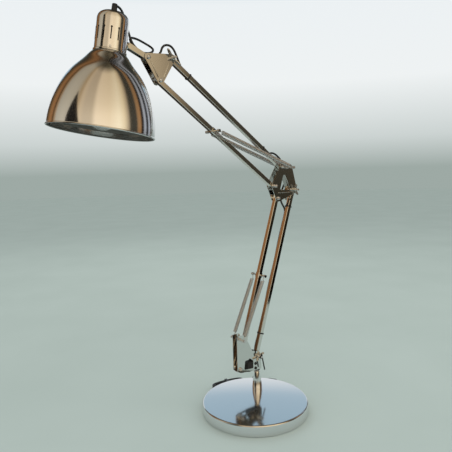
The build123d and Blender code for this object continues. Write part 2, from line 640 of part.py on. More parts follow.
export_step(HEAD * cup, "parts/socket_cup.step")

collar_in = HOLDER_D / 2
spigot_top = cup_foot + SPIGOT_RISE
collar = Pos(0, 0, SHADE_H + CUP_LIFT / 2) * Cylinder(cup_r + CUP_COLLAR_W, CUP_LIFT)
collar = fillet(collar.edges().filter_by(GeomType.CIRCLE), 0.3 * CUP_LIFT)
collar += Pos(0, 0, (SHADE_H + spigot_top) / 2) * Cylinder(cup_r - CUP_T, spigot_top - SHADE_H)
collar -= Pos(0, 0, cup_foot) * Cylinder(collar_in, 40)
for angle in SCREW_ANGLES:
    collar -= Rot(0, 0, angle) * Pos(cup_r, 0, cup_screw_z) * Rot(0, 90, 0) * Cylinder(CUP_SCREW_D / 2, 12)
export_step(HEAD * collar, "parts/shade_collar.step")

cup_screws = []
for angle in SCREW_ANGLES:
    small = Pos(cup_r - 2.5, 0, 0) * Rot(0, 90, 0) * Cylinder(CUP_SCREW_D / 2, 5)
    small += Pos(cup_r + 0.7, 0, 0) * Rot(0, 90, 0) * Cylinder(CUP_SCREW_D * 0.875, 1.4)
    cup_screws.append(HEAD * Rot(0, 0, angle) * Pos(0, 0, cup_screw_z) * small)
head_x = tab_x + TAB_T + PAD_GAP
neck_screw = along_neck_screw(NECK_SCREW_D / 2, cup_r - 5.5, head_x + 0.5)
neck_screw += along_neck_screw(2.9, head_x, head_x + 2.1)
export_step(Compound(children=cup_screws + [neck_screw]), "parts/head_screws.step")

gland = Pos(0, 0, cup_top + BUSH_H / 2) * Cylinder(bush_r, BUSH_H)
gland = fillet(gland.edges().sort_by(Axis.Z)[-1], 1.0)
gland += Pos(0, 0, cup_top - 1) * Cylinder(bush_neck_r, 4)
export_step(HEAD * gland, "parts/cord_bush.step")

holder_r = HOLDER_D / 2
holder_mouth = SHADE_H - HOLDER_DROP
body_top = spigot_top + 3
shoulder_top = body_top + 24
holder_top = cup_top - 19
holder = Pos(0, 0, (holder_mouth + body_top) / 2) * Cylinder(holder_r, body_top - holder_mouth)
holder += Pos(0, 0, (spigot_top + body_top) / 2) * Cylinder(holder_r + 3, body_top - spigot_top)
holder += Pos(0, 0, (body_top + shoulder_top) / 2) * Cylinder(holder_r - 3, shoulder_top - body_top)
holder += Pos(0, 0, (shoulder_top + holder_top) / 2) * Cone(holder_r - 3, 6, holder_top - shoulder_top)
thread_top = holder_mouth + CAP_DEPTH
holder -= Pos(0, 0, (holder_mouth + thread_top) / 2) * Cylinder(CAP_D / 2 + CAP_GAP, CAP_DEPTH)
export_step(HEAD * holder, "parts/lampholder.step")

shade_flange_z = SHADE_H - SHADE_T
ring = Pos(0, 0, shade_flange_z - 2) * Cylinder(holder_r + 6, 4)
ring = chamfer(ring.edges().sort_by(Axis.Z)[0], 1.2)
ring -= Pos(0, 0, shade_flange_z) * Cylinder(holder_r, 20)
export_step(HEAD * ring, "parts/shade_ring.step")

shade_r = SHADE_D / 2
side_points = [(shade_r * share, SHADE_H * rise) for share, rise in SHADE_SIDE] + [(SHADE_NECK_R, SHADE_H)]
inward = [(1, 0), (1, 0), (1, 0.375), (0.75, 0.625), (0.625, 0.75), (0.5, 1)]
inner_points = [(x - SHADE_T * dx, z - SHADE_T * dz) for (x, z), (dx, dz) in zip(side_points, inward)]
outside = Spline(*side_points, tangents=[(0, 1), (-1.3, 1)])
inside = Spline(*inner_points, tangents=[(0, 1), (-1.3, 1)])
shell = make_face([
    outside,
    Line(side_points[-1], (collar_in, SHADE_H)),
    Line((collar_in, SHADE_H), (collar_in, shade_flange_z)),
    Line((collar_in, shade_flange_z), inner_points[-1]),
    inside,
    Line(inner_points[0], side_points[0]),
])
shade = revolve(Plane.XZ * shell, Axis.Z)
shade += Torus(shade_r - SHADE_T / 2, SHADE_LIP)
export_step(HEAD * shade, "parts/shade.step")

cap_r = CAP_D / 2
ball_r = BULB_D / 2
ball_z = holder_mouth - BULB_REACH + ball_r
cap_z = holder_mouth + 2
waist_r = ball_r * cos(radians(38))
waist_z = ball_z + ball_r * sin(radians(38))
neck_points = [(cap_r + (waist_r - cap_r) * out, cap_z + (waist_z - cap_z) * down) for out, down in BULB_NECK]
neck_side = [
    Line((0, thread_top), (cap_r, thread_top)),
    Line((cap_r, thread_top), (cap_r, cap_z)),
    Spline((cap_r, cap_z), *neck_points, (waist_r, waist_z)),
    Line((waist_r, waist_z), (0, ball_z)),
    Line((0, ball_z), (0, thread_top)),
]
bulb = revolve(Plane.XZ * make_face(neck_side), Axis.Z)
bulb += Pos(0, 0, ball_z) * Sphere(ball_r)
export_step(HEAD * bulb, "parts/lamp_bulb.step")

# ================================================================ supply cord, from the head to the plug
DISC_Z = BASE_TOP + CORD_D / 2 + 0.1
bush_mouth = (HEAD * Pos(0, 0, cup_top + 13.2)).position
HEAD_RUN = [
    (bush_mouth.X, bush_mouth.Y, bush_mouth.Z),
    (-265.0, 50.0, 853.5),
    (-254.0, 54.5, 827.0),
    (-248.0, 53.0, 802.3),
]
SLACK_TURN = [
    (-241.3, 52.2, 786.6),
    (-222.7, 52.2, 775.4),
    (-198.8, 62.0, 780.3),
    (-181.4, 79.5, 791.8),
    (-180.3, 92.1, 801.0),
    (-192.1, 98.6, 808.8),
    (-214.3, 88.7, 811.7),
    (-236.6, 76.0, 808.5),
    (-241.9, 61.0, 793.3),
    (-225.4, 59.0, 778.3),
    (-199.6, 58.5, 771.7),
]
HUMP = [(-183.5, 52.5, 777.0), (-177.0, 51.5, 797.5), (-155.9, 50.0, 798.0), (-144.5, 48.0, 771.0)]
ELBOW_OVER = [(92, 47.2, 580.2), (116, 51, 588.5), (145, 55, 573), (163, 55, 548)]
ELBOW_UNDER = [(160, 54.5, 515), (143, 54, 487), (141, 51, 467), (153.2, 47.2, 448)]
FOOT = [(52.8, 47.2, 147), (52, 54.5, 128), (47.5, 53.5, 106), (45, 51.0, 86)]
RISER = [(47, 53, 68), (51, 57, 46), (65, 72.5, DISC_Z)]
LEAD_Z = CORD_D / 2
DROP = [polar_point(128, 48.5, DISC_Z), polar_point(135.5, 53.5, 8), polar_point(131.5, 61, LEAD_Z)]


def tied_run(first, last, runs):
    """The corners of a cord that bows a little between two points along an arm."""
    start, end = Vector(*first), Vector(*last)
    sag = Vector(0, 1, 0).cross(end - start).normalized()
    corners = []
    for i in range(1, runs):
        bow = 1.2 if i % 2 else -1.2
        point = start + (end - start) * (i / runs) + sag * bow
        corners.append((point.X, point.Y, point.Z))
    return corners


upper_side = Vector(0, TUBE / 2 + CORD_D / 2, 0)
upper_in = head_rear + upper_dir * -44 + upper_side
upper_out = elbow_top + upper_dir * 70 + upper_side
lower_in = elbow_rear - lower_dir * 72 + upper_side
lower_out = base_rear + lower_dir * 62 + upper_side
UPPER_ENDS = [(p.X, p.Y, p.Z) for p in (upper_in, upper_out)]
LOWER_ENDS = [(p.X, p.Y, p.Z) for p in (lower_in, lower_out)]
UPPER_RUN = [UPPER_ENDS[0]] + tied_run(*UPPER_ENDS, 5) + [UPPER_ENDS[1]]
LOWER_RUN = [LOWER_ENDS[0]] + tied_run(*LOWER_ENDS, 5) + [LOWER_ENDS[1]]

after_turn = between(SLACK_TURN[-1], HUMP[0])
after_hump = between(HUMP[-1], UPPER_RUN[0])
before_elbow = between(UPPER_RUN[-1], ELBOW_OVER[0])
after_elbow = between(ELBOW_UNDER[-1], LOWER_RUN[0])
before_foot = between(LOWER_RUN[-1], FOOT[0])
on_disc = between(RISER[-1], DROP[0])

stretches = {
    "head_cord": HEAD_RUN + SLACK_TURN + [after_turn],
    "head_bracket_cord": [after_turn] + HUMP + [after_hump],
    "upper_arm_cord": [after_hump] + UPPER_RUN + [before_elbow],
    "elbow_cord": [before_elbow] + ELBOW_OVER + ELBOW_UNDER + [after_elbow],
    "lower_arm_cord": [after_elbow] + LOWER_RUN + [before_foot],
    "foot_cord": [before_foot] + FOOT + RISER + [on_disc],
    "mains_lead": [on_disc] + DROP + [polar_point(129, 64.5, LEAD_Z)],
}
cords = {name: cord(name, points) for name, points in stretches.items()}
for name, tube in cords.items():
    if name != "mains_lead":
        export_step(tube, f"parts/{name}.step")

upper_ties = [
    cord_tie(elbow_top, head_rear, UPPER_TIES[0], False),
    cord_tie(elbow_top, head_rear, UPPER_LENGTH - UPPER_TIES[1], False),
]
lower_ties = [
    cord_tie(base_rear, elbow_rear, LOWER_TIES[0], True),
    cord_tie(base_rear, elbow_rear, LOWER_LENGTH - LOWER_TIES[1], False),
]
export_step(Compound(children=upper_ties), "parts/upper_cord_ties.step")
export_step(Compound(children=lower_ties), "parts/lower_cord_ties.step")

hook = Pos(FOOT[-1][0], STEM_Y + CHEEK_OUT + 3, FOOT[-1][2]) * Box(10, 6, 6) - cords["foot_cord"]
export_step(base_cheeks["right"] + hook, "parts/base_cheek_right.step")

# ================================================================ hank and plug behind the base
lane_in = base_r + HANK_GAP
lane_out = lane_in + LANE_PITCH
hank_h = LAYERS * (CORD_D + 0.1)


def curved_bar(r_in, r_out, grow):
    """A bar bent round the base with half-round ends, as an outline."""
    middle = (r_in + r_out) / 2
    half = (r_out - r_in) / 2 + grow
    start = Pos(*polar_point(middle, HANK_FROM, 0)) * Circle(half)
    end = Pos(*polar_point(middle, HANK_TO, 0)) * Circle(half)
    sector = Circle(middle + half) - Circle(middle - half)
    far = 2 * r_out
    rays = [polar_point(far, degrees, 0) for degrees in (HANK_FROM, HANK_TO)]
    wedge = make_face(Polyline((0, 0), *rays, close=True))
    return (sector & wedge) + start + end


cord_r = CORD_D / 2
bundle = curved_bar(lane_in, lane_out, cord_r) - curved_bar(lane_in, lane_out, -CORD_D - cord_r)
export_step(extrude(bundle, hank_h), "parts/lead_hank.step")

tie_at = (HANK_FROM + HANK_TO) / 2
tie_mid = (lane_in + lane_out) / 2
tie_w = LANE_PITCH + CORD_D + 0.5
band = Box(tie_w + 2 * TIE_T, TIE_W, hank_h + TIE_T) - Pos(0, 0, -TIE_T / 2) * Box(tie_w, 2 * TIE_W, hank_h)
band_at = Pos(*polar_point(tie_mid, tie_at, (hank_h + TIE_T) / 2)) * Rot(0, 0, tie_at)
export_step(band_at * band, "parts/hank_tie.step")

plug_back = PLUG_L - 12
nose_l, nose_w = PLUG_NOSE
nose = Pos((PLUG_L - nose_l) / 2, 0) * Rectangle(nose_l, nose_w)
plug_outline = make_hull(Rectangle(plug_back, PLUG_W).edges() + nose.edges())
plug = extrude(plug_outline, PLUG_T)
plug = fillet(plug.edges().filter_by(Axis.Z), 3)
plug = fillet(plug.edges().group_by(Axis.Z)[-1], 1.5)
for side in (-1, 1):
    pin_x = -(plug_back + PLUG_PIN_L) / 2
    pin = Rot(0, 90, 0) * Cylinder(PLUG_PIN_D / 2, PLUG_PIN_L)
    plug_pin = fillet(pin.edges().filter_by(GeomType.CIRCLE).sort_by(Axis.X)[0], 1.5)
    plug += Pos(pin_x, side * PLUG_PITCH / 2, PLUG_T / 2) * plug_pin
plug_at = Rot(0, 0, 31) * Pos(lane_in + 9.5, 0, 0) * Rot(0, 0, 90)
export_step(plug_at * plug, "parts/mains_plug.step")

plug_mouth = plug_at * Pos(PLUG_L / 2, 0, PLUG_T / 2)
mouth = (plug_mouth.position.X, plug_mouth.position.Y, plug_mouth.position.Z)
before_mouth = plug_at * Pos(PLUG_L / 2 + 12, 0, PLUG_T / 2 - 1.5)
TAIL = [
    polar_point(lane_out, 59, LEAD_Z),
    polar_point(149, 51, LEAD_Z),
    (before_mouth.position.X, before_mouth.position.Y, before_mouth.position.Z),
    mouth,
]
tail = cord("tail", [polar_point(lane_out, 64, LEAD_Z)] + TAIL)
export_step(Compound(children=[cords["mains_lead"], tail]), "parts/mains_lead.step")
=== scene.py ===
"""Looks of a spring-balanced desk lamp: a mirror-plated round base, two parallelogram arms of square
tube with tension springs, pressed brackets and a domed shade under a vented cup.

Metres, in the frame of the construction. The arms fold in the upright plane of their pivots and reach
towards -X. Left means -Y and right means +Y. Sizes are given in millimetres and turned into metres by MM.
"""

from __future__ import annotations

import json
import logging
from collections.abc import Iterable
from dataclasses import dataclass
from enum import Enum
from math import atan2, cos, degrees, hypot, pi, radians, sin, tan

import bmesh
import bpy
from bmesh.types import BMEdge, BMVert
from bpy.types import Material, Mesh, Node, NodeSocket, Object
from mathutils import Matrix, Vector


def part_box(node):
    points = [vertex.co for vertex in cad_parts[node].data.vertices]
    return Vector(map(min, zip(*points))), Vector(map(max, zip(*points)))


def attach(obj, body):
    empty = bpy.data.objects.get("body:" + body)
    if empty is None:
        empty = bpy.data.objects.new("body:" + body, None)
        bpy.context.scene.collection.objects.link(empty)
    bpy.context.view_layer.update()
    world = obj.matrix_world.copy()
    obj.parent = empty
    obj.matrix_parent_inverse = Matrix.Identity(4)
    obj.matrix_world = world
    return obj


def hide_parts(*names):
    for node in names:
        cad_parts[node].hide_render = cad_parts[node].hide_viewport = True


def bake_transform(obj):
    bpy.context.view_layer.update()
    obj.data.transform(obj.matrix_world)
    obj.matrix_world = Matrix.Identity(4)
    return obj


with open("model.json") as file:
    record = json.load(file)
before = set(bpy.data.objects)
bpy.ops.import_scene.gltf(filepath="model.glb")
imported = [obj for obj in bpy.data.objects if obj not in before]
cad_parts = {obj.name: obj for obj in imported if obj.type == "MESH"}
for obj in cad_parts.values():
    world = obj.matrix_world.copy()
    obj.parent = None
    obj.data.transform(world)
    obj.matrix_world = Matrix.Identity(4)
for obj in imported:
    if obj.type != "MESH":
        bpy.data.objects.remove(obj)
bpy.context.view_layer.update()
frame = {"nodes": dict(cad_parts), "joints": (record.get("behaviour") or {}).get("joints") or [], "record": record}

log = logging.getLogger("lamp")

MM = 0.001
ACROSS = Vector((0, 1, 0))
UP = Vector((0, 0, 1))
CREASE = radians(40)
FLAT = radians(0.6)
WELD = 1e-6
Colour = tuple[float, float, float]
Point = tuple[float, float, float]
Spot = tuple[float, float]
Source = NodeSocket | float | Colour


# ---- places taken from the frame
def pivot(joint: str) -> Vector:
    """The place of one of the frame's joints."""
    return Vector(next(j["pos_m"] for j in frame["joints"] if j["name"] == joint))


def mm(x: float, y: float, z: float) -> Vector:
    """A point or a step given in millimetres."""
    return Vector((x, y, z)) * MM


def swung(reach: float, angle: float) -> Spot:
    """The point at a reach and an angle, in degrees, from the middle of a plane."""
    return reach * cos(radians(angle)), reach * sin(radians(angle))


def linked(name: str, data: bpy.types.ID) -> Object:
    """Adds an object to the scene.

    Args:
        name: its name.
        data: its mesh, curve, lamp or camera.

    Returns:
        The object.
    """
    thing = bpy.data.objects.new(name, data)
    bpy.context.scene.collection.objects.link(thing)
    return thing


BODY_OF = {node: body for body, nodes in frame["record"]["behaviour"]["bodies"].items() for node in nodes}
SLOT_OF = {part["node"]: part["material_slot"] for part in frame["record"]["subparts"]}

BASE_FRONT = pivot("lower_front_arm")
BASE_REAR = pivot("lower_arm")
ELBOW_REAR = pivot("elbow_link")
ELBOW_FRONT = pivot("upper_bottom_arm")
ELBOW_TOP = pivot("upper_arm")
HEAD_REAR = pivot("head_link")
CUP = pivot("head_turn")
ELBOW_LOW = BASE_FRONT + ELBOW_REAR - BASE_REAR
HEAD_LOW = ELBOW_FRONT + HEAD_REAR - ELBOW_TOP
LOWER_DIR = (ELBOW_REAR - BASE_REAR).normalized()
UPPER_DIR = (HEAD_REAR - ELBOW_TOP).normalized()


class Side(Enum):
    """The two sides of the arm plane."""

    LEFT = -1
    RIGHT = 1

    @property
    def word(self) -> str:
        """The side as it stands in a node's name."""
        return self.name.lower()


# ---- finishes
class Wiring:
    """A node tree, with short ways to add nodes and to fill their sockets."""

    def __init__(self, tree: bpy.types.NodeTree) -> None:
        """Takes the tree of a material or of the world."""
        self.tree = tree

    def put(self, socket: NodeSocket, source: Source) -> None:
        """Links a source to a socket, or sets it there as a constant.

        Args:
            socket: the socket.
            source: another node's output, or a constant.
        """
        if isinstance(source, NodeSocket):
            self.tree.links.new(source, socket)
        else:
            socket.default_value = (*source, 1.0) if socket.type == "RGBA" else source

    def fill(self, node: Node, **sources: Source) -> Node:
        """Fills a node's sockets.

        Args:
            node: the node.
            sources: what each socket gets, by its name in lower case with underscores.

        Returns:
            The node.
        """
        for name, source in sources.items():
            self.put(node.inputs[name.replace("_", " ").title().replace("Ior", "IOR")], source)
        return node

    def node(self, kind: str, *first: Source, mode: str = "", **sources: Source) -> Node:
        """Adds a node.

        Args:
            kind: its type.
            first: what its first sockets get.
            mode: its operation, if it has one.
            sources: what its other sockets get, by name.

        Returns:
            The node.
        """
        node = self.tree.nodes.new(f"ShaderNode{kind}")
        if mode:
            node.operation = mode
        for socket, source in zip(node.inputs, first):
            self.put(socket, source)
        return self.fill(node, **sources)

    def parts(self, place: NodeSocket) -> bpy.types.NodeOutputs:
        """The X, Y and Z of a place."""
        return self.node("SeparateXYZ", place).outputs

    def span(self, source: NodeSocket, low: float, high: float, start: float = 0.35, stop: float = 0.65) -> NodeSocket:
        """Spreads a pattern's stretch from start to stop between two values, and holds it there."""
        node = self.node("MapRange", value=source, from_min=start, from_max=stop, to_min=low, to_max=high)
        return node.outputs["Result"]

    def tones(self, source: NodeSocket, *stops: tuple[float, Colour]) -> NodeSocket:
        """Turns a pattern into colours.

        Args:
            source: the pattern.
            stops: places along the pattern, each with its colour.

        Returns:
            The colour.
        """
        node = self.node("ValToRGB", fac=source)
        elements = node.color_ramp.elements
        while len(elements) < len(stops):
            elements.new(0.5)
        for element, (at, colour) in zip(elements, stops):
            element.position = at
            element.color = (*colour, 1.0)
        return node.outputs["Color"]


class Shader(Wiring):
    """A Principled surface with patterns wired into it, all read from Object coordinates."""

    def __init__(self, name: str) -> None:
        """Starts a material.

        Args:
            name: its name.
        """
        self.material = bpy.data.materials.new(name)
        self.material.use_nodes = True
        super().__init__(self.material.node_tree)
        self.surface = self.tree.nodes["Principled BSDF"]
        self.place = self.node("TexCoord").outputs["Object"]

    def settle(self, **sources: Source) -> None:
        """Fills the surface's own sockets, by their names in lower case with underscores."""
        self.fill(self.surface, **sources)

    def noise(self, scale: float, detail: float = 3.0) -> NodeSocket:
        """A soft random pattern of about 0.3 to 0.7, with so many lumps in a metre."""
        return self.node("TexNoise", vector=self.place, scale=scale, detail=detail).outputs["Fac"]

    def cells(self, scale: float) -> NodeSocket:
        """The distance from scattered points, for specks and pits."""
        return self.node("TexVoronoi", vector=self.place, scale=scale).outputs["Distance"]

    def relief(self, source: NodeSocket, depth: float, strength: float = 0.5) -> None:
        """Raises the surface by a pattern: depth in millimetres, and how much of it shows."""
        bump = self.node("Bump", height=source, distance=depth * MM, strength=strength)
        self.settle(normal=bump.outputs["Normal"])

    def glow(self, colour: NodeSocket | Colour, strength: float = 1.0) -> Material:
        """Makes the material shine in place of its surface."""
        self.put(self.tree.nodes["Material Output"].inputs["Surface"],
                 self.node("Emission", color=colour, strength=strength).outputs["Emission"])
        return self.material


def shaded(colour: Colour, share: float) -> Colour:
    """A colour made darker by a share."""
    return tuple(c * (1 - share) for c in colour)


@dataclass(frozen=True)
class Plating:
    """Bright plating on steel: a clear mirror with finger haze, a faint ripple and small pits."""

    tint: Colour
    clear: float
    hazy: float
    tarnish: float = 0.08
    ripple: float = 0.004
    ripple_scale: float = 40.0

    def wire(self, shader: Shader) -> None:
        """Wires the finish into a shader: finger film in its tone and smears in its gloss."""
        shader.settle(
            metallic=1.0,
            base_color=shader.tones(shader.noise(scale=14.0, detail=4.0), (0.3, shaded(self.tint, self.tarnish)),
                                    (0.62, self.tint)),
            roughness=shader.span(shader.noise(scale=55.0, detail=6.0), self.clear, self.hazy, start=0.38, stop=0.75))
        shader.relief(shader.noise(self.ripple_scale, detail=2.0), self.ripple, strength=1.0)


@dataclass(frozen=True)
class Moulding:
    """Moulded plastic or rubber: a fine skin texture and uneven gloss."""

    tint: Colour
    roughness: float
    skin: float = 0.02
    grain_scale: float = 900.0
    sheen: float = 0.0

    def wire(self, shader: Shader) -> None:
        """Wires the finish into a shader.

        Args:
            shader: the shader.
        """
        dust = shader.noise(scale=70.0, detail=5.0)
        lifted = tuple(min(1.0, c * 1.25 + 0.006) for c in self.tint)
        shader.settle(
            sheen_weight=self.sheen,
            base_color=shader.tones(dust, (0.4, self.tint), (0.75, lifted)),
            roughness=shader.span(dust, self.roughness - 0.06, self.roughness + 0.12))
        shader.relief(shader.noise(self.grain_scale), self.skin)


@dataclass(frozen=True)
class Paint:
    """Sprayed paint on sheet metal, with orange peel and a few worn specks."""

    tint: Colour
    speck: Colour
    roughness: float = 0.42
    peel: float = 0.02

    def wire(self, shader: Shader) -> None:
        """Wires the finish into a shader: specks in its tone and bloom in its gloss."""
        shader.settle(
            base_color=shader.tones(shader.cells(scale=160.0), (0.04, self.speck), (0.09, self.tint)),
            roughness=shader.span(shader.noise(scale=25.0, detail=4.0), self.roughness - 0.1, self.roughness + 0.1))
        shader.relief(shader.noise(scale=700.0, detail=2.0), self.peel, strength=0.6)


@dataclass(frozen=True)
class Casting:
    """Cast metal: a sandy, pitted skin, brighter where hands rub it."""

    tint: Colour
    roughness: float
    metallic: float
    pit: float = 0.05

    def wire(self, shader: Shader) -> None:
        """Wires the finish into a shader.

        Args:
            shader: the shader.
        """
        rub = shader.noise(scale=120.0, detail=5.0)
        shader.settle(
            metallic=self.metallic,
            base_color=shader.tones(rub, (0.35, shaded(self.tint, 0.3)), (0.65, self.tint)),
            roughness=shader.span(rub, self.roughness + 0.12, self.roughness - 0.08))
        shader.relief(shader.noise(scale=1500.0, detail=4.0), self.pit)


@dataclass(frozen=True)
class Opal:
    """Opal glass: a milky body under a clear gloss, a little dusty on top."""

    tint: Colour

    def wire(self, shader: Shader) -> None:
        """Wires the finish into a shader.

        Args:
            shader: the shader.
        """
        dust = shader.noise(scale=60.0, detail=5.0)
        shader.settle(
            coat_weight=0.6, coat_roughness=0.04, subsurface_weight=0.15, subsurface_radius=(0.01, 0.01, 0.01),
            base_color=shader.tones(dust, (0.35, shaded(self.tint, 0.06)), (0.6, self.tint)),
            roughness=shader.span(dust, 0.12, 0.3))


class Finish(Enum):
    """Every finish on the lamp, under the name of the record's material slot."""

    chrome_cover = Plating(tint=(0.84, 0.83, 0.81), clear=0.02, hazy=0.06, tarnish=0.05, ripple=0.003)
    chrome_sheet = Plating(tint=(0.66, 0.64, 0.6), clear=0.06, hazy=0.18, tarnish=0.2, ripple=0.01)
    chrome_tube = Plating(tint=(0.74, 0.71, 0.66), clear=0.05, hazy=0.14, tarnish=0.16, ripple=0.012,
                          ripple_scale=60.0)
    bright_steel = Plating(tint=(0.86, 0.85, 0.83), clear=0.08, hazy=0.2, tarnish=0.1)
    collar_steel = Plating(tint=(0.62, 0.61, 0.58), clear=0.12, hazy=0.25, tarnish=0.2)
    spring_steel = Plating(tint=(0.5, 0.485, 0.46), clear=0.08, hazy=0.2, tarnish=0.3)
    bush_brass = Plating(tint=(0.72, 0.55, 0.25), clear=0.2, hazy=0.35, tarnish=0.25)
    wing_nut_zinc = Casting(tint=(0.66, 0.65, 0.62), roughness=0.24, metallic=1.0)
    cast_iron = Casting(tint=(0.16, 0.16, 0.17), roughness=0.6, metallic=0.6, pit=0.2)
    felt = Moulding(tint=(0.03, 0.03, 0.032), roughness=0.8, skin=0.2, grain_scale=2000.0, sheen=0.3)
    moulded_black = Moulding(tint=(0.014, 0.014, 0.015), roughness=0.38)
    plug_grey = Moulding(tint=(0.3, 0.3, 0.29), roughness=0.45)
    holder_black = Moulding(tint=(0.02, 0.019, 0.018), roughness=0.25, skin=0.01)
    cord_black = Moulding(tint=(0.01, 0.01, 0.011), roughness=0.36, skin=0.03, grain_scale=500.0)
    tie_black = Moulding(tint=(0.016, 0.016, 0.017), roughness=0.42)
    bulb_glass = Opal(tint=(0.86, 0.85, 0.82))
    # The lining's tint is darkened to the dim grey of the shaded inside of the dome: painted shade.
    shade_lining = Paint(tint=(0.2, 0.19, 0.175), speck=(0.155, 0.148, 0.135))

    @property
    def material(self) -> Material:
        """The finish's one material, built the first time it is asked for.

        Returns:
            The material.
        """
        if self.name not in bpy.data.materials:
            self.value.wire(Shader(self.name))
        return bpy.data.materials[self.name]


# ---- forms
def towards(start: Vector, direction: Vector) -> Matrix:
    """A place at start whose Z runs in a direction."""
    return Matrix.Translation(start) @ direction.to_track_quat("Z", "Y").to_matrix().to_4x4()


def rounded(corners: list[tuple[float, ...]], steps: int = 7) -> list[Spot]:
    """An outline through corners, some of them with a radius.

    Args:
        corners: (a, b) or (a, b, radius) for each corner.
        steps: the pieces of each rounded corner.

    Returns:
        The outline's points, each rounded corner as an arc.
    """
    points: list[Spot] = []
    for index, corner in enumerate(corners):
        here = Vector(corner[:2])
        if len(corner) == 2:
            points.append(tuple(here))
            continue
        back = (Vector(corners[index - 1][:2]) - here).normalized()
        ahead = (Vector(corners[(index + 1) % len(corners)][:2]) - here).normalized()
        half = back.angle(ahead) / 2
        middle = here + (back + ahead).normalized() * (corner[2] / sin(half))
        first = here + back * (corner[2] / tan(half)) - middle
        last = here + ahead * (corner[2] / tan(half)) - middle
        sweep = (atan2(last.y, last.x) - atan2(first.y, first.x) + pi) % (2 * pi) - pi
        for step in range(steps + 1):
            angle = atan2(first.y, first.x) + sweep * step / steps
            points.append((middle.x + corner[2] * cos(angle), middle.y + corner[2] * sin(angle)))
    return points


def flowing(knots: list[Spot], first: Spot, last: Spot, steps: int = 8) -> list[Spot]:
    """A smooth line through knots, given its direction at both ends.

    Args:
        knots: the points it passes through.
        first: its direction at the first knot.
        last: its direction at the last knot.
        steps: the pieces between two knots.

    Returns:
        The line's points.
    """
    at = [Vector(k) for k in knots]
    chords = [(b - a).length for a, b in zip(at, at[1:])]
    slopes = [Vector(first).normalized()]
    for index in range(1, len(at) - 1):
        slopes.append((at[index + 1] - at[index - 1]) / (chords[index - 1] + chords[index]))
    slopes.append(Vector(last).normalized())
    points = []
    for index, chord in enumerate(chords):
        for step in range(steps):
            t = step / steps
            rise = t * t * (3 - 2 * t)
            leave = t * (1 - t) ** 2 * chord
            arrive = -t * t * (1 - t) * chord
            spot = at[index] * (1 - rise) + at[index + 1] * rise
            points.append(tuple(spot + slopes[index] * leave + slopes[index + 1] * arrive))
    return points + [tuple(at[-1])]


class Form:
    """A mesh in the making, shaped with bmesh operators where the piece belongs."""

    def __init__(self) -> None:
        """Starts empty."""
        self.bm = bmesh.new()

    def rod(self, start: Vector, end: Vector, radius: float, sides: int = 32) -> None:
        """Adds a round bar between two points, its radius in millimetres."""
        bmesh.ops.create_cone(self.bm, cap_ends=True, segments=sides, radius1=radius * MM, radius2=radius * MM,
                              depth=(end - start).length, matrix=towards((start + end) / 2, end - start))

    def block(self, place: Matrix, size: Vector) -> None:
        """Adds a block of a size round a place."""
        bmesh.ops.create_cube(self.bm, size=1.0, matrix=place @ Matrix.Diagonal((*size, 1.0)))

    def circle(self, radius: float, place: Matrix, sides: int, filled: bool = True) -> list[BMVert]:
        """Adds a circle across the Z of a place, its radius in metres, and gives its corners."""
        ring = bmesh.ops.create_circle(self.bm, cap_ends=filled, segments=sides, radius=radius, matrix=place)
        return ring["verts"]

    def chain(self, points: Iterable[Vector], closed: bool = False) -> list[BMVert | BMEdge]:
        """Adds a line through points, and gives its corners and edges."""
        verts = [self.bm.verts.new(point) for point in points]
        return verts + [self.bm.edges.new(pair) for pair in zip(verts, verts[1:] + (verts[:1] if closed else []))]

    def lathe(self, outline: list[Spot], place: Matrix, steps: int = 96, closed: bool = True) -> Form:
        """Adds a turned shape.

        Args:
            outline: (radius, height) points in millimetres.
            place: the turning axis, its Z up the outline.
            steps: the facets round it.
            closed: whether the last point joins the first.

        Returns:
            The form itself.
        """
        line = self.chain((place @ mm(radius, 0, height) for radius, height in outline), closed)
        bmesh.ops.spin(self.bm, geom=line, cent=place.translation, axis=place.to_3x3() @ UP,
                       angle=2 * pi, steps=steps, use_merge=True)
        bmesh.ops.remove_doubles(self.bm, verts=self.bm.verts, dist=WELD)
        bmesh.ops.recalc_face_normals(self.bm, faces=self.bm.faces)
        return self

    def arc(self, centre: Vector, start: Vector, turn: float, wire: float, steps: int = 16) -> None:
        """Adds a bar of round wire bent round a cross axis of the arms, with closed ends.

        Args:
            centre: a point on the axis.
            start: the middle of the wire's first end.
            turn: how far it is bent, in degrees.
            wire: the wire's radius, in millimetres.
            steps: the straight pieces along it.
        """
        ring = self.circle(wire * MM, towards(start, ACROSS.cross(start - centre)), sides=10)
        bmesh.ops.spin(self.bm, geom=ring[0].link_faces[:], cent=centre, axis=ACROSS, angle=radians(turn), steps=steps)
        bmesh.ops.recalc_face_normals(self.bm, faces=self.bm.faces)

    def soften(self, width: float, segments: int = 2) -> None:
        """Rounds every crisp edge by a width in millimetres, with so many facets across it."""
        edges = [e for e in self.bm.edges if e.is_manifold and e.calc_face_angle() > CREASE]
        bmesh.ops.bevel(self.bm, geom=edges, offset=width * MM, offset_type="OFFSET", affect="EDGES",
                        segments=segments, profile=0.5, material=-1, clamp_overlap=True)

    def mesh(self, name: str) -> Mesh:
        """Closes the form.

        Args:
            name: the mesh's name.

        Returns:
            The mesh.
        """
        mesh = bpy.data.meshes.new(name)
        self.bm.to_mesh(mesh)
        self.bm.free()
        return mesh

    def piece(self, name: str, finish: Finish, body: str | None, *nodes: str, smooth: float = 38) -> Object:
        """Closes the form into a finished piece, as the function finished does with a mesh."""
        return finished(name, self.mesh(name), finish, body, *nodes, smooth=smooth)


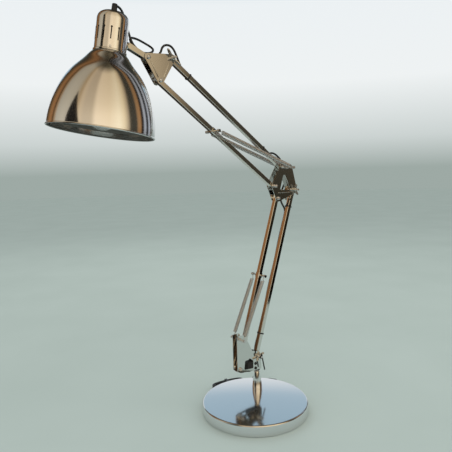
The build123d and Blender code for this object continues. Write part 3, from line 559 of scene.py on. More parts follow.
def finished(name: str, mesh: Mesh, finish: Finish, body: str | None, *nodes: str,
             smooth: float = 38) -> Object:
    """Links a mesh as a piece with its finish, body and nodes.

    Args:
        name: the piece's name.
        mesh: the mesh, already in place.
        finish: its finish, and the record's slot that it comes from.
        body: the body that carries it, or None, which leaves it unattached.
        nodes: the nodes that it stands for.
        smooth: edges sharper than this many degrees stay crisp.

    Returns:
        The piece.
    """
    mesh.materials.clear()
    mesh.materials.append(finish.material)
    mesh.shade_smooth()
    mesh.set_sharp_from_angle(angle=radians(smooth))
    piece = linked(name, mesh)
    if body:
        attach(piece, body)
    if nodes:
        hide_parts(*nodes)
    log.info("%s: %d faces", name, len(mesh.polygons))
    return piece


def dress(node: str, edge: float) -> Object:
    """A node's own shape as one clean skin, with its stamped or moulded edges rounded.

    Args:
        node: the node that the piece stands for.
        edge: the width of the rounding, in millimetres.

    Returns:
        The piece.
    """
    form = Form()
    form.bm.from_mesh(frame["nodes"][node].data)
    bmesh.ops.remove_doubles(form.bm, verts=form.bm.verts, dist=2 * WELD)
    bmesh.ops.dissolve_limit(form.bm, angle_limit=FLAT, use_dissolve_boundaries=False,
                             verts=form.bm.verts, edges=form.bm.edges, delimit={"NORMAL"})
    form.soften(edge)
    piece = form.piece(f"{node}_skin", Finish[SLOT_OF[node]], BODY_OF[node], node)
    piece.modifiers.new("even_normals", "WEIGHTED_NORMAL").keep_sharp = True
    return piece


# ---- the base
@dataclass
class Foot:
    """The weighted round base and the stem on it."""

    diameter: float = 240.0
    top: float = 25.0
    edge: float = 3.5
    wall: float = 1.2
    lift: float = 1.0
    stem_foot: float = 12.0
    stem_top: float = 6.0
    stem_height: float = 42.0
    stem_belly: float = 1.2
    stem_edge: float = 0.6

    def build(self) -> None:
        """Builds the cover, the stem and the pieces that hold them."""
        self.cover()
        self.stem()
        dress("base_pad", 0.3)
        dress("stem_bush", 0.2)

    def cover(self) -> None:
        """The spun cover: one bright shell with a rolled edge."""
        outer = self.diameter / 2
        inner = outer - self.wall
        ceiling = self.top - self.wall
        outline = rounded([(0.0, self.top), (outer, self.top, self.edge), (outer, self.lift), (inner, self.lift),
                           (inner, ceiling, self.edge - self.wall), (0.0, ceiling)])
        form = Form().lathe(outline, Matrix.Identity(4), steps=224, closed=False)
        form.piece("cover_skin", Finish.chrome_cover, "base", "base_cover", smooth=60)

    def stem(self) -> None:
        """The turned stem, full in the belly and narrow at the top."""
        low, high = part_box("stem")
        middle = (low + high) / 2
        belly = (self.stem_foot + self.stem_top) / 2 + self.stem_belly
        end = self.top + self.stem_height
        side = flowing([(self.stem_foot, self.top), (belly, self.top + self.stem_height / 2),
                        (self.stem_top, end - self.stem_edge)], (0.08, 1.0), (-0.26, 1.0), steps=14)
        outline = [(0.0, self.top), *side, (self.stem_top - self.stem_edge, end), (0.0, end)]
        form = Form().lathe(outline, Matrix.Translation((middle.x, middle.y, 0)), closed=False)
        form.piece("stem_skin", Finish.chrome_cover, "base", "stem")


# ---- the arms
@dataclass
class TensionSpring:
    """A closed coil of bright wire with a hook at each end, stretched between two bodies."""

    name: str
    start: Vector
    end: Vector
    bodies: tuple[str, str]
    swing: float
    outer: float = 9.5
    wire: float = 1.5
    pitch: float = 1.9
    lead: float = 12.0
    hook: float = 3.05
    hook_turn: float = 290.0
    hook_neck: float = 8.4
    facets: int = 12

    def build(self) -> None:
        """Winds the coil and bends its hooks."""
        along = (self.end - self.start).normalized()
        up = ACROSS.cross(along)
        mean = (self.outer - self.wire) / 2 * MM
        foot = self.start + along * self.lead * MM
        span = (self.end - self.start).length - 2 * self.lead * MM
        turns = round(span / (self.pitch * MM))
        steps = turns * self.facets
        form = Form()
        section = Matrix.Translation(foot + up * mean) @ Matrix((up, along, up.cross(along))).transposed().to_4x4()
        form.circle(self.wire / 2 * MM, section, sides=6, filled=False)
        bmesh.ops.spin(form.bm, geom=form.bm.verts[:] + form.bm.edges[:], cent=foot, axis=along,
                       dvec=along * span / steps, angle=2 * pi * turns, steps=steps)
        bmesh.ops.holes_fill(form.bm, edges=form.bm.edges, sides=6)
        bmesh.ops.recalc_face_normals(form.bm, faces=form.bm.faces)
        for pin, way in ((self.start, along), (self.end, -along)):
            throat = pin + way * self.hook * MM
            neck = pin + way * self.hook_neck * MM
            form.arc(pin, throat, self.hook_turn, self.wire / 2)
            form.rod(throat, neck, self.wire / 2, sides=10)
            form.rod(neck, pin + way * self.lead * MM + up * mean, self.wire / 2, sides=10)
        piece = form.piece(f"{self.name}_coil", Finish.spring_steel, None, self.name, smooth=50)
        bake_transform(piece)


@dataclass
class Arms:
    """The four square tubes, their saddles and the four springs."""

    lower_clip_at: float = 221.0
    upper_clip_at: float = 209.5
    spring_side: float = 18.5
    lower_anchor: Spot = (2.5, 69.4)
    upper_anchor: Spot = (24.0, -2.4)
    lower_swing: float = 0.6
    upper_swing: float = 0.4

    def build(self) -> None:
        """Dresses the tubes and winds the springs."""
        for arm in ("lower_front", "lower_rear", "upper_top", "upper_bottom"):
            dress(f"{arm}_tube", 0.25)
            dress(f"{arm}_plugs", 0.2)
        dress("lower_spring_clip", 0.25)
        dress("upper_spring_clip", 0.25)
        low_pin = BASE_FRONT + mm(self.lower_anchor[0], 0, self.lower_anchor[1])
        low_clip = BASE_FRONT + LOWER_DIR * self.lower_clip_at * MM
        high_pin = ELBOW_TOP + mm(self.upper_anchor[0], 0, self.upper_anchor[1])
        high_clip = ELBOW_FRONT + UPPER_DIR * self.upper_clip_at * MM
        for side in Side:
            out = mm(0, side.value * self.spring_side, 0)
            TensionSpring(f"lower_spring_{side.word}", low_pin + out, low_clip + out,
                          ("swivel", "lower_front"), self.lower_swing).build()
            TensionSpring(f"upper_spring_{side.word}", high_pin + out, high_clip + out,
                          ("elbow", "upper_bottom"), self.upper_swing).build()


@dataclass
class Brackets:
    """The pressed brackets at the base, the elbow and the head, with their pins, nuts and bolts."""

    sheet_edge: float = 0.35
    cast_edge: float = 0.45
    turned_edge: float = 0.2
    block_edge: float = 0.5
    bead: float = 0.9
    bead_end: float = 0.54

    def build(self) -> None:
        """Dresses every pressing and fastener."""
        for joint in ("base", "elbow", "head"):
            for side in Side:
                dress(f"{joint}_cheek_{side.word}", self.sheet_edge)
            dress(f"{joint}_wing_nut", self.cast_edge)
            dress(f"{joint}_bolts", self.turned_edge)
        for node in ("base_cap_nut", "elbow_cap_nuts", "head_cap_nuts", "base_spring_studs", "elbow_spring_pin",
                     "swivel_spindle", "neck_arm", "head_screws"):
            dress(node, self.turned_edge)
        dress("swivel_block", self.block_edge)
        for side in Side:
            self.beads(f"head_cheek_{side.word}", side, (HEAD_LOW + mm(-18.3, 0, 31.8), HEAD_LOW + mm(-5.2, 0, 5.2)),
                       (HEAD_LOW + mm(19.9, 0, 31.8), HEAD_LOW + mm(6.8, 0, 5.2)))
            self.beads(f"elbow_cheek_{side.word}", side,
                       (ELBOW_LOW + mm(0.7, 0, 13), ELBOW_REAR + mm(-7.5, 0, -5.2)))

    def beads(self, cheek: str, side: Side, *lines: tuple[Vector, Vector]) -> None:
        """Rounds off the pressed ribs on the outer face of a cheek.

        Args:
            cheek: the cheek's node, and the body it moves with.
            side: which side of the arms it is on.
            lines: where each rib starts and ends, seen from the side.
        """
        low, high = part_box(cheek)
        face = low[1] if side is Side.LEFT else high[1]
        form = Form()
        for start, end in lines:
            form.rod(Vector((start.x, face, start.z)), Vector((end.x, face, end.z)), self.bead, sides=20)
        form.soften(self.bead_end, 3)
        form.piece(f"{cheek}_beads", Finish.chrome_sheet, BODY_OF[cheek])


# ---- the head
@dataclass
class Head:
    """The shade, the vented cup over the lampholder, and the bulb."""

    tilt: float = 8.5
    roll: float = 3.0
    reach: float = 32.1
    pivot_height: float = 165.7
    rim: float = 97.5
    side: tuple[Spot, ...] = ((0.964, 0.246), (0.852, 0.493), (0.684, 0.704), (0.462, 0.88))
    wall: float = 0.8
    lip: float = 1.6
    neck_radius: float = 30.2
    neck_height: float = 142.0
    cup_radius: float = 29.2
    cup_wall: float = 0.9
    cup_low: float = 146.0
    cup_high: float = 215.0
    cup_shoulder: float = 15.0
    cup_bore: float = 4.0
    boss_radius: float = 6.0
    boss_reach: float = 2.3
    vents: int = 14
    vent_first: float = -141.0
    vent_low: float = 161.0
    vent_high: float = 184.0
    vent_width: float = 2.0
    vent_eye: float = 1.8
    vent_gap: float = 14.0
    spigot: float = 5.0
    collar_edge: float = 1.1
    holder: float = 19.6
    bulb: float = 30.0
    bulb_tip: float = 3.0
    bulb_neck: float = 13.2
    bulb_end: float = 113.0
    bush_radius: float = 5.3
    bush_height: float = 16.0

    @property
    def place(self) -> Matrix:
        """The shade's axis, from the middle of its mouth upwards."""
        lean = Matrix.Rotation(radians(self.tilt), 4, "Y") @ Matrix.Rotation(radians(self.roll), 4, "X")
        return Matrix.Translation(CUP) @ lean @ Matrix.Translation(mm(-self.reach, 0, -self.pivot_height))

    def build(self) -> None:
        """Builds every piece of the head."""
        self.shade()
        self.cup()
        self.collar()
        self.lamp()
        self.gland()
        dress("lampholder", 0.3)
        dress("shade_ring", 0.3)

    def shade(self) -> None:
        """The spun dome: bright outside, painted inside, with a rolled lip."""
        knots = [(self.rim * share, self.neck_height * rise) for share, rise in self.side]
        knots = [(self.rim, self.lip), *knots, (self.neck_radius, self.neck_height)]
        outer = flowing(knots, (0.0, 1.0), (-1.3, 1.0))
        inner = []
        for (radius, height), behind, ahead in zip(outer, outer[:1] + outer, outer[1:] + outer[-1:]):
            square = Vector((ahead[1] - behind[1], behind[0] - ahead[0])).normalized() * self.wall
            inner.append((radius - square.x, height - square.y))
        middle = self.rim - self.wall / 2
        roll = [(middle + across, up) for across, up in (swung(self.lip, angle) for angle in range(75, -256, -15))]
        flange = [(self.holder, self.neck_height - self.wall), (self.holder, self.neck_height)]
        form = Form().lathe(outer[:0:-1] + roll + inner[1:] + flange, self.place, steps=192)
        shade = form.piece("shade_skin", Finish.chrome_cover, "head", "shade", smooth=55)
        # The inner faces get the lining, whose dark tint is painted shade of the dome's inside.
        shade.data.materials.append(Finish.shade_lining.material)
        back = self.place.inverted()
        for face in shade.data.polygons:
            centre = back @ face.center
            facing = back.to_3x3() @ face.normal
            inward = facing.x * centre.x + facing.y * centre.y < 0 or facing.z < -0.95
            face.material_index = int(inward and hypot(centre.x, centre.y) < (middle - 0.6) * MM)

    def cup(self) -> None:
        """The vented cup, pierced with keyholes, with the boss of the neck screw."""
        outer, inner = self.cup_radius, self.cup_radius - self.cup_wall
        ceiling = self.cup_high - self.cup_wall
        outline = rounded([
            (self.cup_bore, self.cup_high), (outer, self.cup_high, self.cup_shoulder), (outer, self.cup_low),
            (inner, self.cup_low), (inner, ceiling, self.cup_shoulder - self.cup_wall), (self.cup_bore, ceiling),
        ], steps=12)
        cup = linked("cup", Form().lathe(outline, self.place, steps=168).mesh("cup"))
        tool = linked("keyholes", self.keyholes().mesh("keyholes"))
        cut = cup.modifiers.new("vents", "BOOLEAN")
        cut.operation = "DIFFERENCE"
        cut.solver = "EXACT"
        cut.use_self = True
        cut.object = tool
        graph = bpy.context.evaluated_depsgraph_get()
        pierced = bpy.data.meshes.new_from_object(cup.evaluated_get(graph))
        bpy.data.objects.remove(tool)
        bpy.data.objects.remove(cup)
        finished("cup_skin", pierced, Finish.chrome_cover, "head", "socket_cup", smooth=50)
        boss = Form()
        boss.rod(self.place @ mm(outer - 0.6, 0, self.pivot_height),
                 self.place @ mm(outer + self.boss_reach, 0, self.pivot_height), self.boss_radius, sides=40)
        boss.soften(0.3)
        boss.piece("neck_boss", Finish.chrome_cover, "head")

    def keyholes(self) -> Form:
        """The shapes that pierce the cup: a narrow slot with a round eye at its top.

        Returns:
            The form of them all.
        """
        form = Form()
        eye = self.vent_high - self.vent_eye
        slot = eye - self.vent_low
        through = 4.0
        for index in range(self.vents):
            angle = self.vent_first + index * 360 / self.vents
            if abs((angle + 180) % 360 - 180) < self.vent_gap:
                continue
            turn = self.place @ Matrix.Rotation(radians(angle), 4, "Z")
            form.block(turn @ Matrix.Translation(mm(self.cup_radius, 0, self.vent_low + slot / 2)),
                       mm(2 * through, self.vent_width, slot))
            form.rod(turn @ mm(self.cup_radius - through, 0, eye), turn @ mm(self.cup_radius + through, 0, eye),
                     self.vent_eye, sides=20)
        return form

    def collar(self) -> None:
        """The turned collar between the cup and the shade, with its spigot."""
        outer = self.cup_radius + 1.6
        inner = self.cup_radius - self.cup_wall - 0.05
        outline = rounded([
            (self.holder, self.neck_height), (outer, self.neck_height, self.collar_edge),
            (outer, self.cup_low, self.collar_edge), (inner, self.cup_low), (inner, self.cup_low + self.spigot),
            (self.holder, self.cup_low + self.spigot),
        ])
        form = Form().lathe(outline, self.place, steps=144)
        form.piece("collar_skin", Finish.collar_steel, "head", "shade_collar")

    def lamp(self) -> None:
        """The opal bulb with its neck down in the lampholder."""
        centre = self.bulb_tip + self.bulb
        ball = [(out, centre + up) for out, up in (swung(self.bulb, angle) for angle in range(-90, 39, 6))]
        neck = flowing([ball[-1], (18.3, 63.0), (14.2, 76.0), (self.bulb_neck, 86.0)], (-0.62, 0.79), (0.0, 1.0), 5)
        outline = [(0.0, ball[0][1]), *ball[1:-1], *neck, (self.bulb_neck, self.bulb_end), (0.0, self.bulb_end)]
        form = Form().lathe(outline, self.place, steps=72, closed=False)
        form.piece("bulb_skin", Finish.bulb_glass, "head", "lamp_bulb")

    def gland(self) -> None:
        """The black bush that the cord enters the cup through."""
        waist = self.bush_radius - 1.4
        outline = [(0.0, -2.5), (waist, -2.5), (waist, 0.0), (self.bush_radius, 0.0, 0.4),
                   (self.bush_radius - 0.25, 11.5), (self.bush_radius - 0.9, 12.2), (self.bush_radius - 0.3, 13.0),
                   (self.bush_radius - 0.5, self.bush_height, 1.0), (0.0, self.bush_height)]
        place = self.place @ Matrix.Translation(mm(0, 0, self.cup_high))
        form = Form().lathe(rounded(outline), place, steps=48, closed=False)
        form.piece("bush_skin", Finish.moulded_black, "head", "cord_bush")


# ---- the cord
def middle_of(first: Point, last: Point) -> Point:
    """The point half-way between two points."""
    return tuple((a + b) / 2 for a, b in zip(first, last))


def round_base(radius: float, angle: float, height: float) -> Point:
    """A point round the middle of the base, in millimetres and degrees."""
    return (*swung(radius, angle), height)


@dataclass
class SupplyCord:
    """The black cord: it leaves the cup, follows both arms and ends in a hank and a plug."""

    diameter: float = 4.4
    disc: float = 27.3
    floor: float = 2.2
    side: float = 7.2
    lane_in: float = 129.0
    lane_out: float = 151.0
    lane_step: float = 4.6
    hank_from: float = 66.0
    hank_to: float = 91.0
    bend: tuple[float, ...] = (-67.5, -22.5, 22.5, 67.5)
    bulge: float = 1.07
    runs: int = 5
    bow: float = 1.2
    upper_ends: Spot = (44.0, 70.0)
    lower_ends: Spot = (72.0, 62.0)
    leaves_at: Spot = (128.0, 48.5)
    plug_turn: float = 121.0
    plug_at: Spot = (138.5, 31.0)
    plug_face: float = -11.2

    def build(self) -> None:
        """Lays every held stretch of the cord, then its free lead, and its ties."""
        upper = self.along(HEAD_REAR - UPPER_DIR * self.upper_ends[0] * MM,
                           ELBOW_TOP + UPPER_DIR * self.upper_ends[1] * MM)
        lower = self.along(ELBOW_REAR - LOWER_DIR * self.lower_ends[0] * MM,
                           BASE_REAR + LOWER_DIR * self.lower_ends[1] * MM)
        disc_edge = round_base(*self.leaves_at, self.disc)
        head = Head()
        bush_mouth = tuple(head.place @ mm(0, 0, head.cup_high + 13.2) / MM)
        riser = [(47.0, 53.0, 68.0), (51.0, 57.0, 46.0), (65.0, 72.5, self.disc)]
        stretches = (
            ("head_cord_run", "head_cord", ("head", "neck"),
             [bush_mouth, (-265, 50, 853.5), (-254, 54.5, 827), (-248, 53, 802.3)]),
            ("slack_turn", "head_cord", ("neck", "head_bracket"),
             [(-241.3, 52.2, 786.6), (-222.7, 52.2, 775.4), (-198.8, 62, 780.3), (-181.4, 79.5, 791.8),
              (-180.3, 92.1, 801), (-192.1, 98.6, 808.8), (-214.3, 88.7, 811.7), (-236.6, 76, 808.5),
              (-241.9, 61, 793.3), (-225.4, 59, 778.3), (-199.6, 58.5, 771.7)]),
            ("cord_hump", "head_bracket_cord", ("head_bracket", "upper_top"),
             [(-183.5, 52.5, 777), (-177, 51.5, 797.5), (-155.9, 50, 798), (-144.5, 48, 771)]),
            ("upper_run", "upper_arm_cord", ("upper_top",), upper),
            ("elbow_over", "elbow_cord", ("upper_top", "elbow"),
             [(92, 47.2, 580.2), (116, 51, 588.5), (145, 55, 573), (163, 55, 548)]),
            ("elbow_under", "elbow_cord", ("elbow", "lower_rear"),
             [(160, 54.5, 515), (143, 54, 487), (141, 51, 467), (153.2, 47.2, 448)]),
            ("lower_run", "lower_arm_cord", ("lower_rear",), lower),
            ("foot_run", "foot_cord", ("lower_rear", "swivel"),
             [(52.8, 47.2, 147), (52, 54.5, 128), (47.5, 53.5, 106), (45, 51, 86)]),
            ("riser_run", "foot_cord", ("swivel", "base"), riser),
        )
        before = None
        following = [corners[0] for *_, corners in stretches[1:]] + [disc_edge]
        for (name, node, bodies, corners), after in zip(stretches, following):
            points = [*corners, middle_of(corners[-1], after)]
            if before:
                points.insert(0, middle_of(before, corners[0]))
            self.stretch(name, node, bodies, points)
            before = corners[-1]
        self.mains(middle_of(riser[-1], disc_edge), disc_edge)
        TieTail().build()
        dress("upper_cord_ties", 0.2)
        dress("lower_cord_ties", 0.2)

    def along(self, start: Vector, end: Vector) -> list[Point]:
        """The corners of a tied run on an arm's right face, which bows a little between its ties.

        Args:
            start: where the run begins, on the arm's axis.
            end: where it ends, on the arm's axis.

        Returns:
            The corners, in millimetres.
        """
        first, last = start / MM + ACROSS * self.side, end / MM + ACROSS * self.side
        stray = ACROSS.cross(last - first).normalized() * self.bow
        corners = [first]
        for index in range(1, self.runs):
            corners.append(first + (last - first) * (index / self.runs) + stray * (1 if index % 2 else -1))
        return [tuple(corner) for corner in corners + [last]]

    def line(self, name: str, points: list[Point]) -> Object:
        """A smooth round cord along a route.

        Args:
            name: its name.
            points: the route, in millimetres.

        Returns:
            A curve object.
        """
        curve = bpy.data.curves.new(name, "CURVE")
        curve.dimensions = "3D"
        curve.bevel_depth = self.diameter / 2 * MM
        curve.bevel_resolution = 4
        curve.resolution_u = 10
        curve.use_fill_caps = True
        curve.materials.append(Finish.cord_black.material)
        spline = curve.splines.new("NURBS")
        spline.points.add(len(points) - 1)
        for spot, point in zip(spline.points, points):
            spot.co = (*(value * MM for value in point), 1.0)
        spline.order_u = 3
        spline.use_endpoint_u = True
        return linked(name, curve)

    def stretch(self, name: str, node: str, bodies: tuple[str, ...], points: list[Point]) -> None:
        """A held stretch of cord.

        Args:
            name: the piece's name.
            node: the node that it stands for.
            bodies: the body that carries it, or the two that it runs between.
            points: its route, in millimetres.
        """
        strand = self.line(f"{name}_line", points)
        graph = bpy.context.evaluated_depsgraph_get()
        mesh = bpy.data.meshes.new_from_object(strand.evaluated_get(graph))
        bpy.data.objects.remove(strand)
        piece = finished(name, mesh, Finish.cord_black, bodies[0] if len(bodies) == 1 else None, node, smooth=60)
        if len(bodies) == 2:
            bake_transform(piece)

    def hank(self) -> list[Point]:
        """The turns of the put-away lead, bent round the back of the base.

        Returns:
            The corners of six turns in two lanes and three layers, in millimetres.
        """
        points: list[Point] = []
        start, end = self.hank_from, self.hank_to
        middle = (self.lane_in + self.lane_out) / 2
        turns = [(0.0, 0), (0.0, 1), (0.0, 2), (self.lane_step, 2), (self.lane_step, 1), (self.lane_step, 0)]
        for (inset, layer), (_, following) in zip(turns, turns[1:] + turns[-1:]):
            half = (self.lane_out - self.lane_in) / 2 - inset
            spots: list[Spot] = []
            for way, angles in ((-1, (start + 6, (start + end) / 2, end - 6, end)),
                                (1, (end - 5, (start + end) / 2, start + 5, start))):
                spots += [(middle + way * half, angle) for angle in angles[:3]]
                corners = [swung(-way * half * self.bulge, share) for share in self.bend]
                spots += [(middle + across, angles[3] + degrees(along / middle)) for along, across in corners]
            if (inset, layer) == turns[-1]:
                del spots[-len(self.bend):]
            for index, (radius, angle) in enumerate(spots):
                height = layer + (following - layer) * max(0.0, index / len(spots) - 0.6) / 0.4
                points.append(round_base(radius, angle, self.floor + (self.diameter + 0.1) * height))
        return points

    def mains(self, on_disc: Point, disc_edge: Point) -> None:
        """The free lead: down off the base, through its hank and on to the plug.

        Args:
            on_disc: where it starts, on the base's top.
            disc_edge: where it leaves the top.
        """
        drop = [on_disc, disc_edge, round_base(135.5, 53.5, 8.0), round_base(131.5, 61.0, self.floor)]
        turn = Matrix.Rotation(radians(self.plug_turn), 4, "Z")
        seat = Matrix.Translation(mm(*round_base(*self.plug_at, 0.0))) @ turn
        mouth = tuple(seat @ mm(17.0, 0, 5.5) / MM)
        before_mouth = tuple(seat @ mm(29.0, 0, 4.0) / MM)
        tail = [round_base(self.lane_out, 59.0, self.floor), round_base(149.0, 51.0, self.floor), before_mouth, mouth]
        lead = self.line("mains_line", drop + self.hank() + tail)
        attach(lead, "base")
        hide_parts("mains_lead", "lead_hank")
        plug = dress("mains_plug", 0.3)
        plug.data.materials.append(Finish.bright_steel.material)
        for face in plug.data.polygons:
            face.material_index = int((seat.inverted() @ face.center).x < self.plug_face * MM)
        tie = dress("hank_tie", 0.25)
        log.info("mains lead laid")


@dataclass
class TieTail:
    """The ribbed free end of the strap tie that hangs from the base's clamp bolt, and its loop."""

    top: Point = (40.2, 20.0, 117.2)
    foot: Point = (49.4, 20.0, 75.4)
    strap: Spot = (1.0, 3.4)
    rib: Point = (0.5, 2.4, 0.8)
    rib_at: float = 0.6
    ribs: int = 22
    loop: float = 3.3

    def build(self) -> None:
        """Makes the strap, its ribs and the loop round the bolt."""
        top, foot = mm(*self.top), mm(*self.foot)
        place = towards((top + foot) / 2, foot - top)
        length = (foot - top).length
        form = Form()
        form.block(place, Vector((self.strap[0] * MM, self.strap[1] * MM, length)))
        form.soften(0.2)
        for index in range(self.ribs):
            step = Vector((self.rib_at * MM, 0, length * ((index + 0.5) / self.ribs - 0.5)))
            form.block(place @ Matrix.Translation(step), mm(*self.rib))
        bolt = Vector((BASE_REAR.x, top.y, BASE_REAR.z))
        form.arc(bolt, bolt + mm(0, 0, self.loop), 360, 1.0, steps=28)
        form.rod(bolt + mm(0.5, 0, self.loop), top, 1.1, sides=12)
        form.piece("tie_tail", Finish.tie_black, "swivel")


# ---- the studio
@dataclass
class Studio:
    """A pale floor, soft light, plain cards for the plating to reflect, and the camera."""

    eye: Point = (-699.9, -805.0, 544.5)
    heading: Point = (0.6119, 0.7832, -0.1107)
    roll: float = 1.56
    focal_pixels: float = 487.0
    frame_pixels: float = 452.0
    sensor: float = 36.0
    table: float = 0.85
    room: float = 2.6
    ground: float = -0.75
    pole: Spot = (0.13, 0.17)
    aim: Point = (0.0, 0.0, 0.4)

    def build(self) -> None:
        """Sets the floor, the cards, the lamps, the world and the camera."""
        self.floor()
        self.cards()
        self.lamps()
        self.world()
        self.camera()

    def camera(self) -> None:
        """The camera at its standing place, level but for a slight roll."""
        data = bpy.data.cameras.new("camera")
        data.sensor_width = self.sensor
        data.lens = self.focal_pixels / self.frame_pixels * self.sensor
        data.clip_end = 50
        camera = linked("camera", data)
        aim = Vector(self.heading).to_track_quat("-Z", "Y").to_matrix().to_4x4()
        camera.matrix_world = Matrix.Translation(mm(*self.eye)) @ aim @ Matrix.Rotation(radians(-self.roll), 4, "Z")
        bpy.context.scene.camera = camera

    def staged(self, name: str, form: Form, material: Material) -> Object:
        """Links a form as part of the studio.

        Args:
            name: its name.
            form: the form.
            material: its material.

        Returns:
            The object.
        """
        stand = linked(name, form.mesh(name))
        stand.data.materials.append(material)
        return stand

    def floor(self) -> None:
        """A pale floor: a round part that also shows in the plating, and the rest of it around."""
        shader = Shader("floor_paint")
        shader.settle(
            specular_ior_level=0.0,
            base_color=shader.tones(shader.noise(3.0), (0.3, (0.55, 0.64, 0.58)), (0.7, (0.58, 0.67, 0.61))),
            roughness=shader.span(shader.noise(8.0), 0.45, 0.55))
        inner, outer = Form(), Form()
        inner.circle(self.table, Matrix.Identity(4), sides=96)
        outer.circle(self.table, Matrix.Identity(4), sides=96, filled=False)
        spread = bmesh.ops.extrude_edge_only(outer.bm, edges=outer.bm.edges[:])
        verts = [item for item in spread["geom"] if isinstance(item, BMVert)]
        bmesh.ops.scale(outer.bm, vec=(14, 14, 1), verts=verts)
        bmesh.ops.recalc_face_normals(outer.bm, faces=outer.bm.faces)
        self.staged("floor_inner", inner, shader.material)
        self.staged("floor_outer", outer, shader.material).visible_glossy = False

    def cards(self) -> None:
        """A plain dome and ground of warm and dark tones, seen only in the plating."""
        wall, cap, deep, blade = Form(), Form(), Form(), Form()
        self.vault(wall, 100, 278, 0.0, 3.0)
        self.vault(wall, 18, 82, 2.6, 3.0)
        self.vault(cap, 18, 82, 1.9, 2.7)
        deep.circle(self.room, Matrix.Translation((0, 0, self.ground + 0.01)), sides=48)
        corners = ((2.1, 156, -0.7), (2.1, 216, -0.7), (1.9, 180, 2.3))
        blade.bm.faces.new([blade.bm.verts.new((*swung(reach, angle), up)) for reach, angle, up in corners])
        for name, form, material in (
            ("room_card", wall, self.wall_glow()), ("vault_card", cap, self.cap_glow()),
            ("ground_card", deep, Shader("ground_glow").glow((0.035, 0.026, 0.018))),
            ("dark_card", blade, Shader("dark_glow").glow((0.01, 0.008, 0.006))),
        ):
            card = self.staged(name, form, material)
            card.visible_camera = card.visible_diffuse = card.visible_shadow = False
            card.visible_transmission = card.visible_volume_scatter = False

    def vault(self, form: Form, start: float, turn: float, low: float, high: float) -> None:
        """Adds a piece of the dome over the lamp.

        Args:
            form: the form it is added to.
            start: where it starts round the upright axis, in degrees.
            turn: how far it goes round, in degrees.
            low: how high its lower edge is, or 0 for down to the ground card.
            high: how high its upper edge is at most.
        """
        outline = [(self.room * cos(radians(k)), 1.0 + 1.9 * sin(radians(k))) for k in range(0, 91, 6)]
        if low:
            outline = [spot for spot in outline if low <= spot[1] <= high]
        else:
            outline.insert(0, (self.room, self.ground))
        line = form.chain(Vector((*swung(max(reach, 0.001), start), up)) for reach, up in outline)
        bmesh.ops.spin(form.bm, geom=line, cent=(0, 0, 0), axis=UP, angle=radians(turn), steps=64)

    def cap_glow(self) -> Material:
        """The part of the dome behind the lamp, nearly black but for a brown foot.

        Returns:
            The material.
        """
        shader = Shader("vault_glow")
        rise = shader.span(shader.parts(shader.place)["Z"], 0.0, 1.0, 1.9, 2.9)
        return shader.glow(shader.tones(rise, (0.0, (0.13, 0.12, 0.09)), (0.5, (0.03, 0.03, 0.022)),
                                        (1.0, (0.02, 0.02, 0.016))))

    def wall_glow(self) -> Material:
        """The long card: cream in its middle, browns and near-blacks towards its ends.

        Returns:
            The material.
        """
        shader = Shader("room_glow")
        from_pole = shader.node("VectorMath", shader.place, (*self.pole, 0.0), mode="SUBTRACT")
        around = shader.parts(from_pole.outputs["Vector"])
        turned = shader.node("Math", around["Y"], around["X"], mode="ARCTAN2")
        share = shader.span(turned.outputs["Value"], 0.0, 1.0, -pi, pi)
        stops = [(-180, (0.5, 0.44, 0.33)), (-172, (0.46, 0.33, 0.18)), (-164, (0.7, 0.56, 0.38)),
                 (-155, (0.6, 0.49, 0.345)), (-140, (0.6, 0.49, 0.34)), (-132, (0.94, 0.77, 0.54)),
                 (-105, (0.9, 0.73, 0.49)), (-84, (1.0, 0.86, 0.6)), (-72, (0.84, 0.68, 0.43)),
                 (-62, (0.4, 0.31, 0.2)), (-57, (0.05, 0.045, 0.032)), (-40, (0.05, 0.047, 0.036)),
                 (-37, (0.3, 0.18, 0.085)), (-28, (0.36, 0.19, 0.08)), (-24, (0.006, 0.005, 0.004)),
                 (-18, (0.02, 0.02, 0.02)), (-15, (0.4, 0.42, 0.45)), (-9, (0.36, 0.38, 0.42)),
                 (-6, (0.006, 0.006, 0.006)), (0, (0.02, 0.02, 0.02)), (5, (0.5, 0.54, 0.6)),
                 (13, (0.03, 0.02, 0.012)), (104, (0.05, 0.04, 0.03)), (113, (0.12, 0.07, 0.03)),
                 (123, (0.3, 0.15, 0.06)), (131, (0.26, 0.12, 0.045)), (134, (0.01, 0.008, 0.006)),
                 (138, (0.3, 0.17, 0.07)), (145, (0.44, 0.4, 0.32)), (160, (0.52, 0.47, 0.37))]
        seen = [(Vector(swung(self.room, angle)) - Vector(self.pole), tone) for angle, tone in stops]
        colour = shader.tones(share, *sorted(((atan2(at.y, at.x) / pi + 1) / 2, tone) for at, tone in seen))
        rise = shader.span(shader.parts(shader.place)["Z"], 0.0, 1.0, 0.0, 2.9)
        dim = shader.tones(rise, (0.0, (0.06, 0.05, 0.04)), (0.06, (0.30, 0.27, 0.23)), (0.14, (0.74, 0.71, 0.66)),
                           (0.26, (1.0, 1.0, 1.0)), (0.5, (0.94, 0.92, 0.89)), (0.72, (0.76, 0.73, 0.68)),
                           (0.97, (0.60, 0.56, 0.50)), (1.0, (0.05, 0.05, 0.04)))
        product = shader.tree.nodes.new("ShaderNodeMix")
        product.data_type = "RGBA"
        product.blend_type = "MULTIPLY"
        shader.fill(product, factor=1.0, a=colour, b=dim)
        return shader.glow(product.outputs["Result"], strength=1.2)

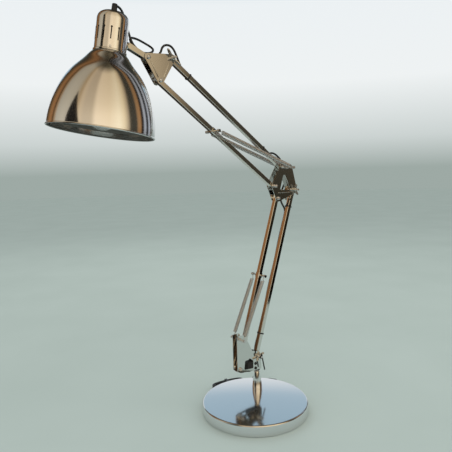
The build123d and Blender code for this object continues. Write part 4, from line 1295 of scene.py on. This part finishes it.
    def lamps(self) -> None:
        """Three large soft lamps that look at the middle of the arms and don't show in the plating."""
        for name, at, power, size in (("key", (-1.6, -1.9, 2.3), 16.0, 1.6), ("fill", (1.9, -1.4, 1.6), 6.0, 1.4),
                                      ("back", (0.9, 1.9, 2.2), 9.0, 1.6)):
            data = bpy.data.lights.new(name, "AREA")
            data.energy = power
            data.size = size
            lamp = linked(name, data)
            lamp.visible_glossy = False
            lamp.matrix_world = towards(Vector(at), Vector(at) - Vector(self.aim))

    def world(self) -> None:
        """A pale backdrop for the camera, the plating and the glass, and plain light for the rest."""
        world = bpy.data.worlds.new("studio")
        bpy.context.scene.world = world
        world.use_nodes = True
        wiring = Wiring(world.node_tree)
        nodes = wiring.tree.nodes
        rays = wiring.node("LightPath").outputs
        seen = wiring.node("Math", rays["Is Camera Ray"], rays["Is Glossy Ray"], mode="MAXIMUM")
        clear = wiring.node("Math", seen.outputs["Value"], rays["Is Transmission Ray"], mode="MAXIMUM")
        light = wiring.fill(nodes["Background"], color=(0.94, 0.97, 1.0), strength=0.62)
        height = wiring.parts(wiring.node("TexCoord").outputs["Generated"])["Z"]
        fade = wiring.tones(height, (0.0, (0.34, 0.40, 0.375)), (0.06, (0.60, 0.65, 0.64)),
                            (0.17, (0.86, 0.89, 0.895)), (0.31, (0.84, 0.88, 0.90)),
                            (0.40, (0.42, 0.56, 0.66)), (0.60, (0.36, 0.50, 0.60)))
        backdrop = wiring.node("Background", color=fade)
        both = wiring.node("MixShader", clear.outputs["Value"], light.outputs["Background"],
                           backdrop.outputs["Background"])
        wiring.put(nodes["World Output"].inputs["Surface"], both.outputs["Shader"])


def dress_inner_nodes() -> None:
    """Gives each node that stays as it is the finish of its material slot."""
    for name, node in frame["nodes"].items():
        node.data.materials.clear()
        node.data.materials.append(Finish[SLOT_OF[name]].material)


def main() -> None:
    """Builds the lamp, then the studio round it."""
    logging.basicConfig(level=logging.INFO, format="%(name)s: %(message)s")
    dress_inner_nodes()
    for part in (Foot(), Brackets(), Arms(), Head(), SupplyCord()):
        part.build()
        log.info("%s is built", type(part).__name__)
    Studio().build()
    bpy.context.scene.view_settings.view_transform = "Standard"


if __name__ == "__main__":
    main()
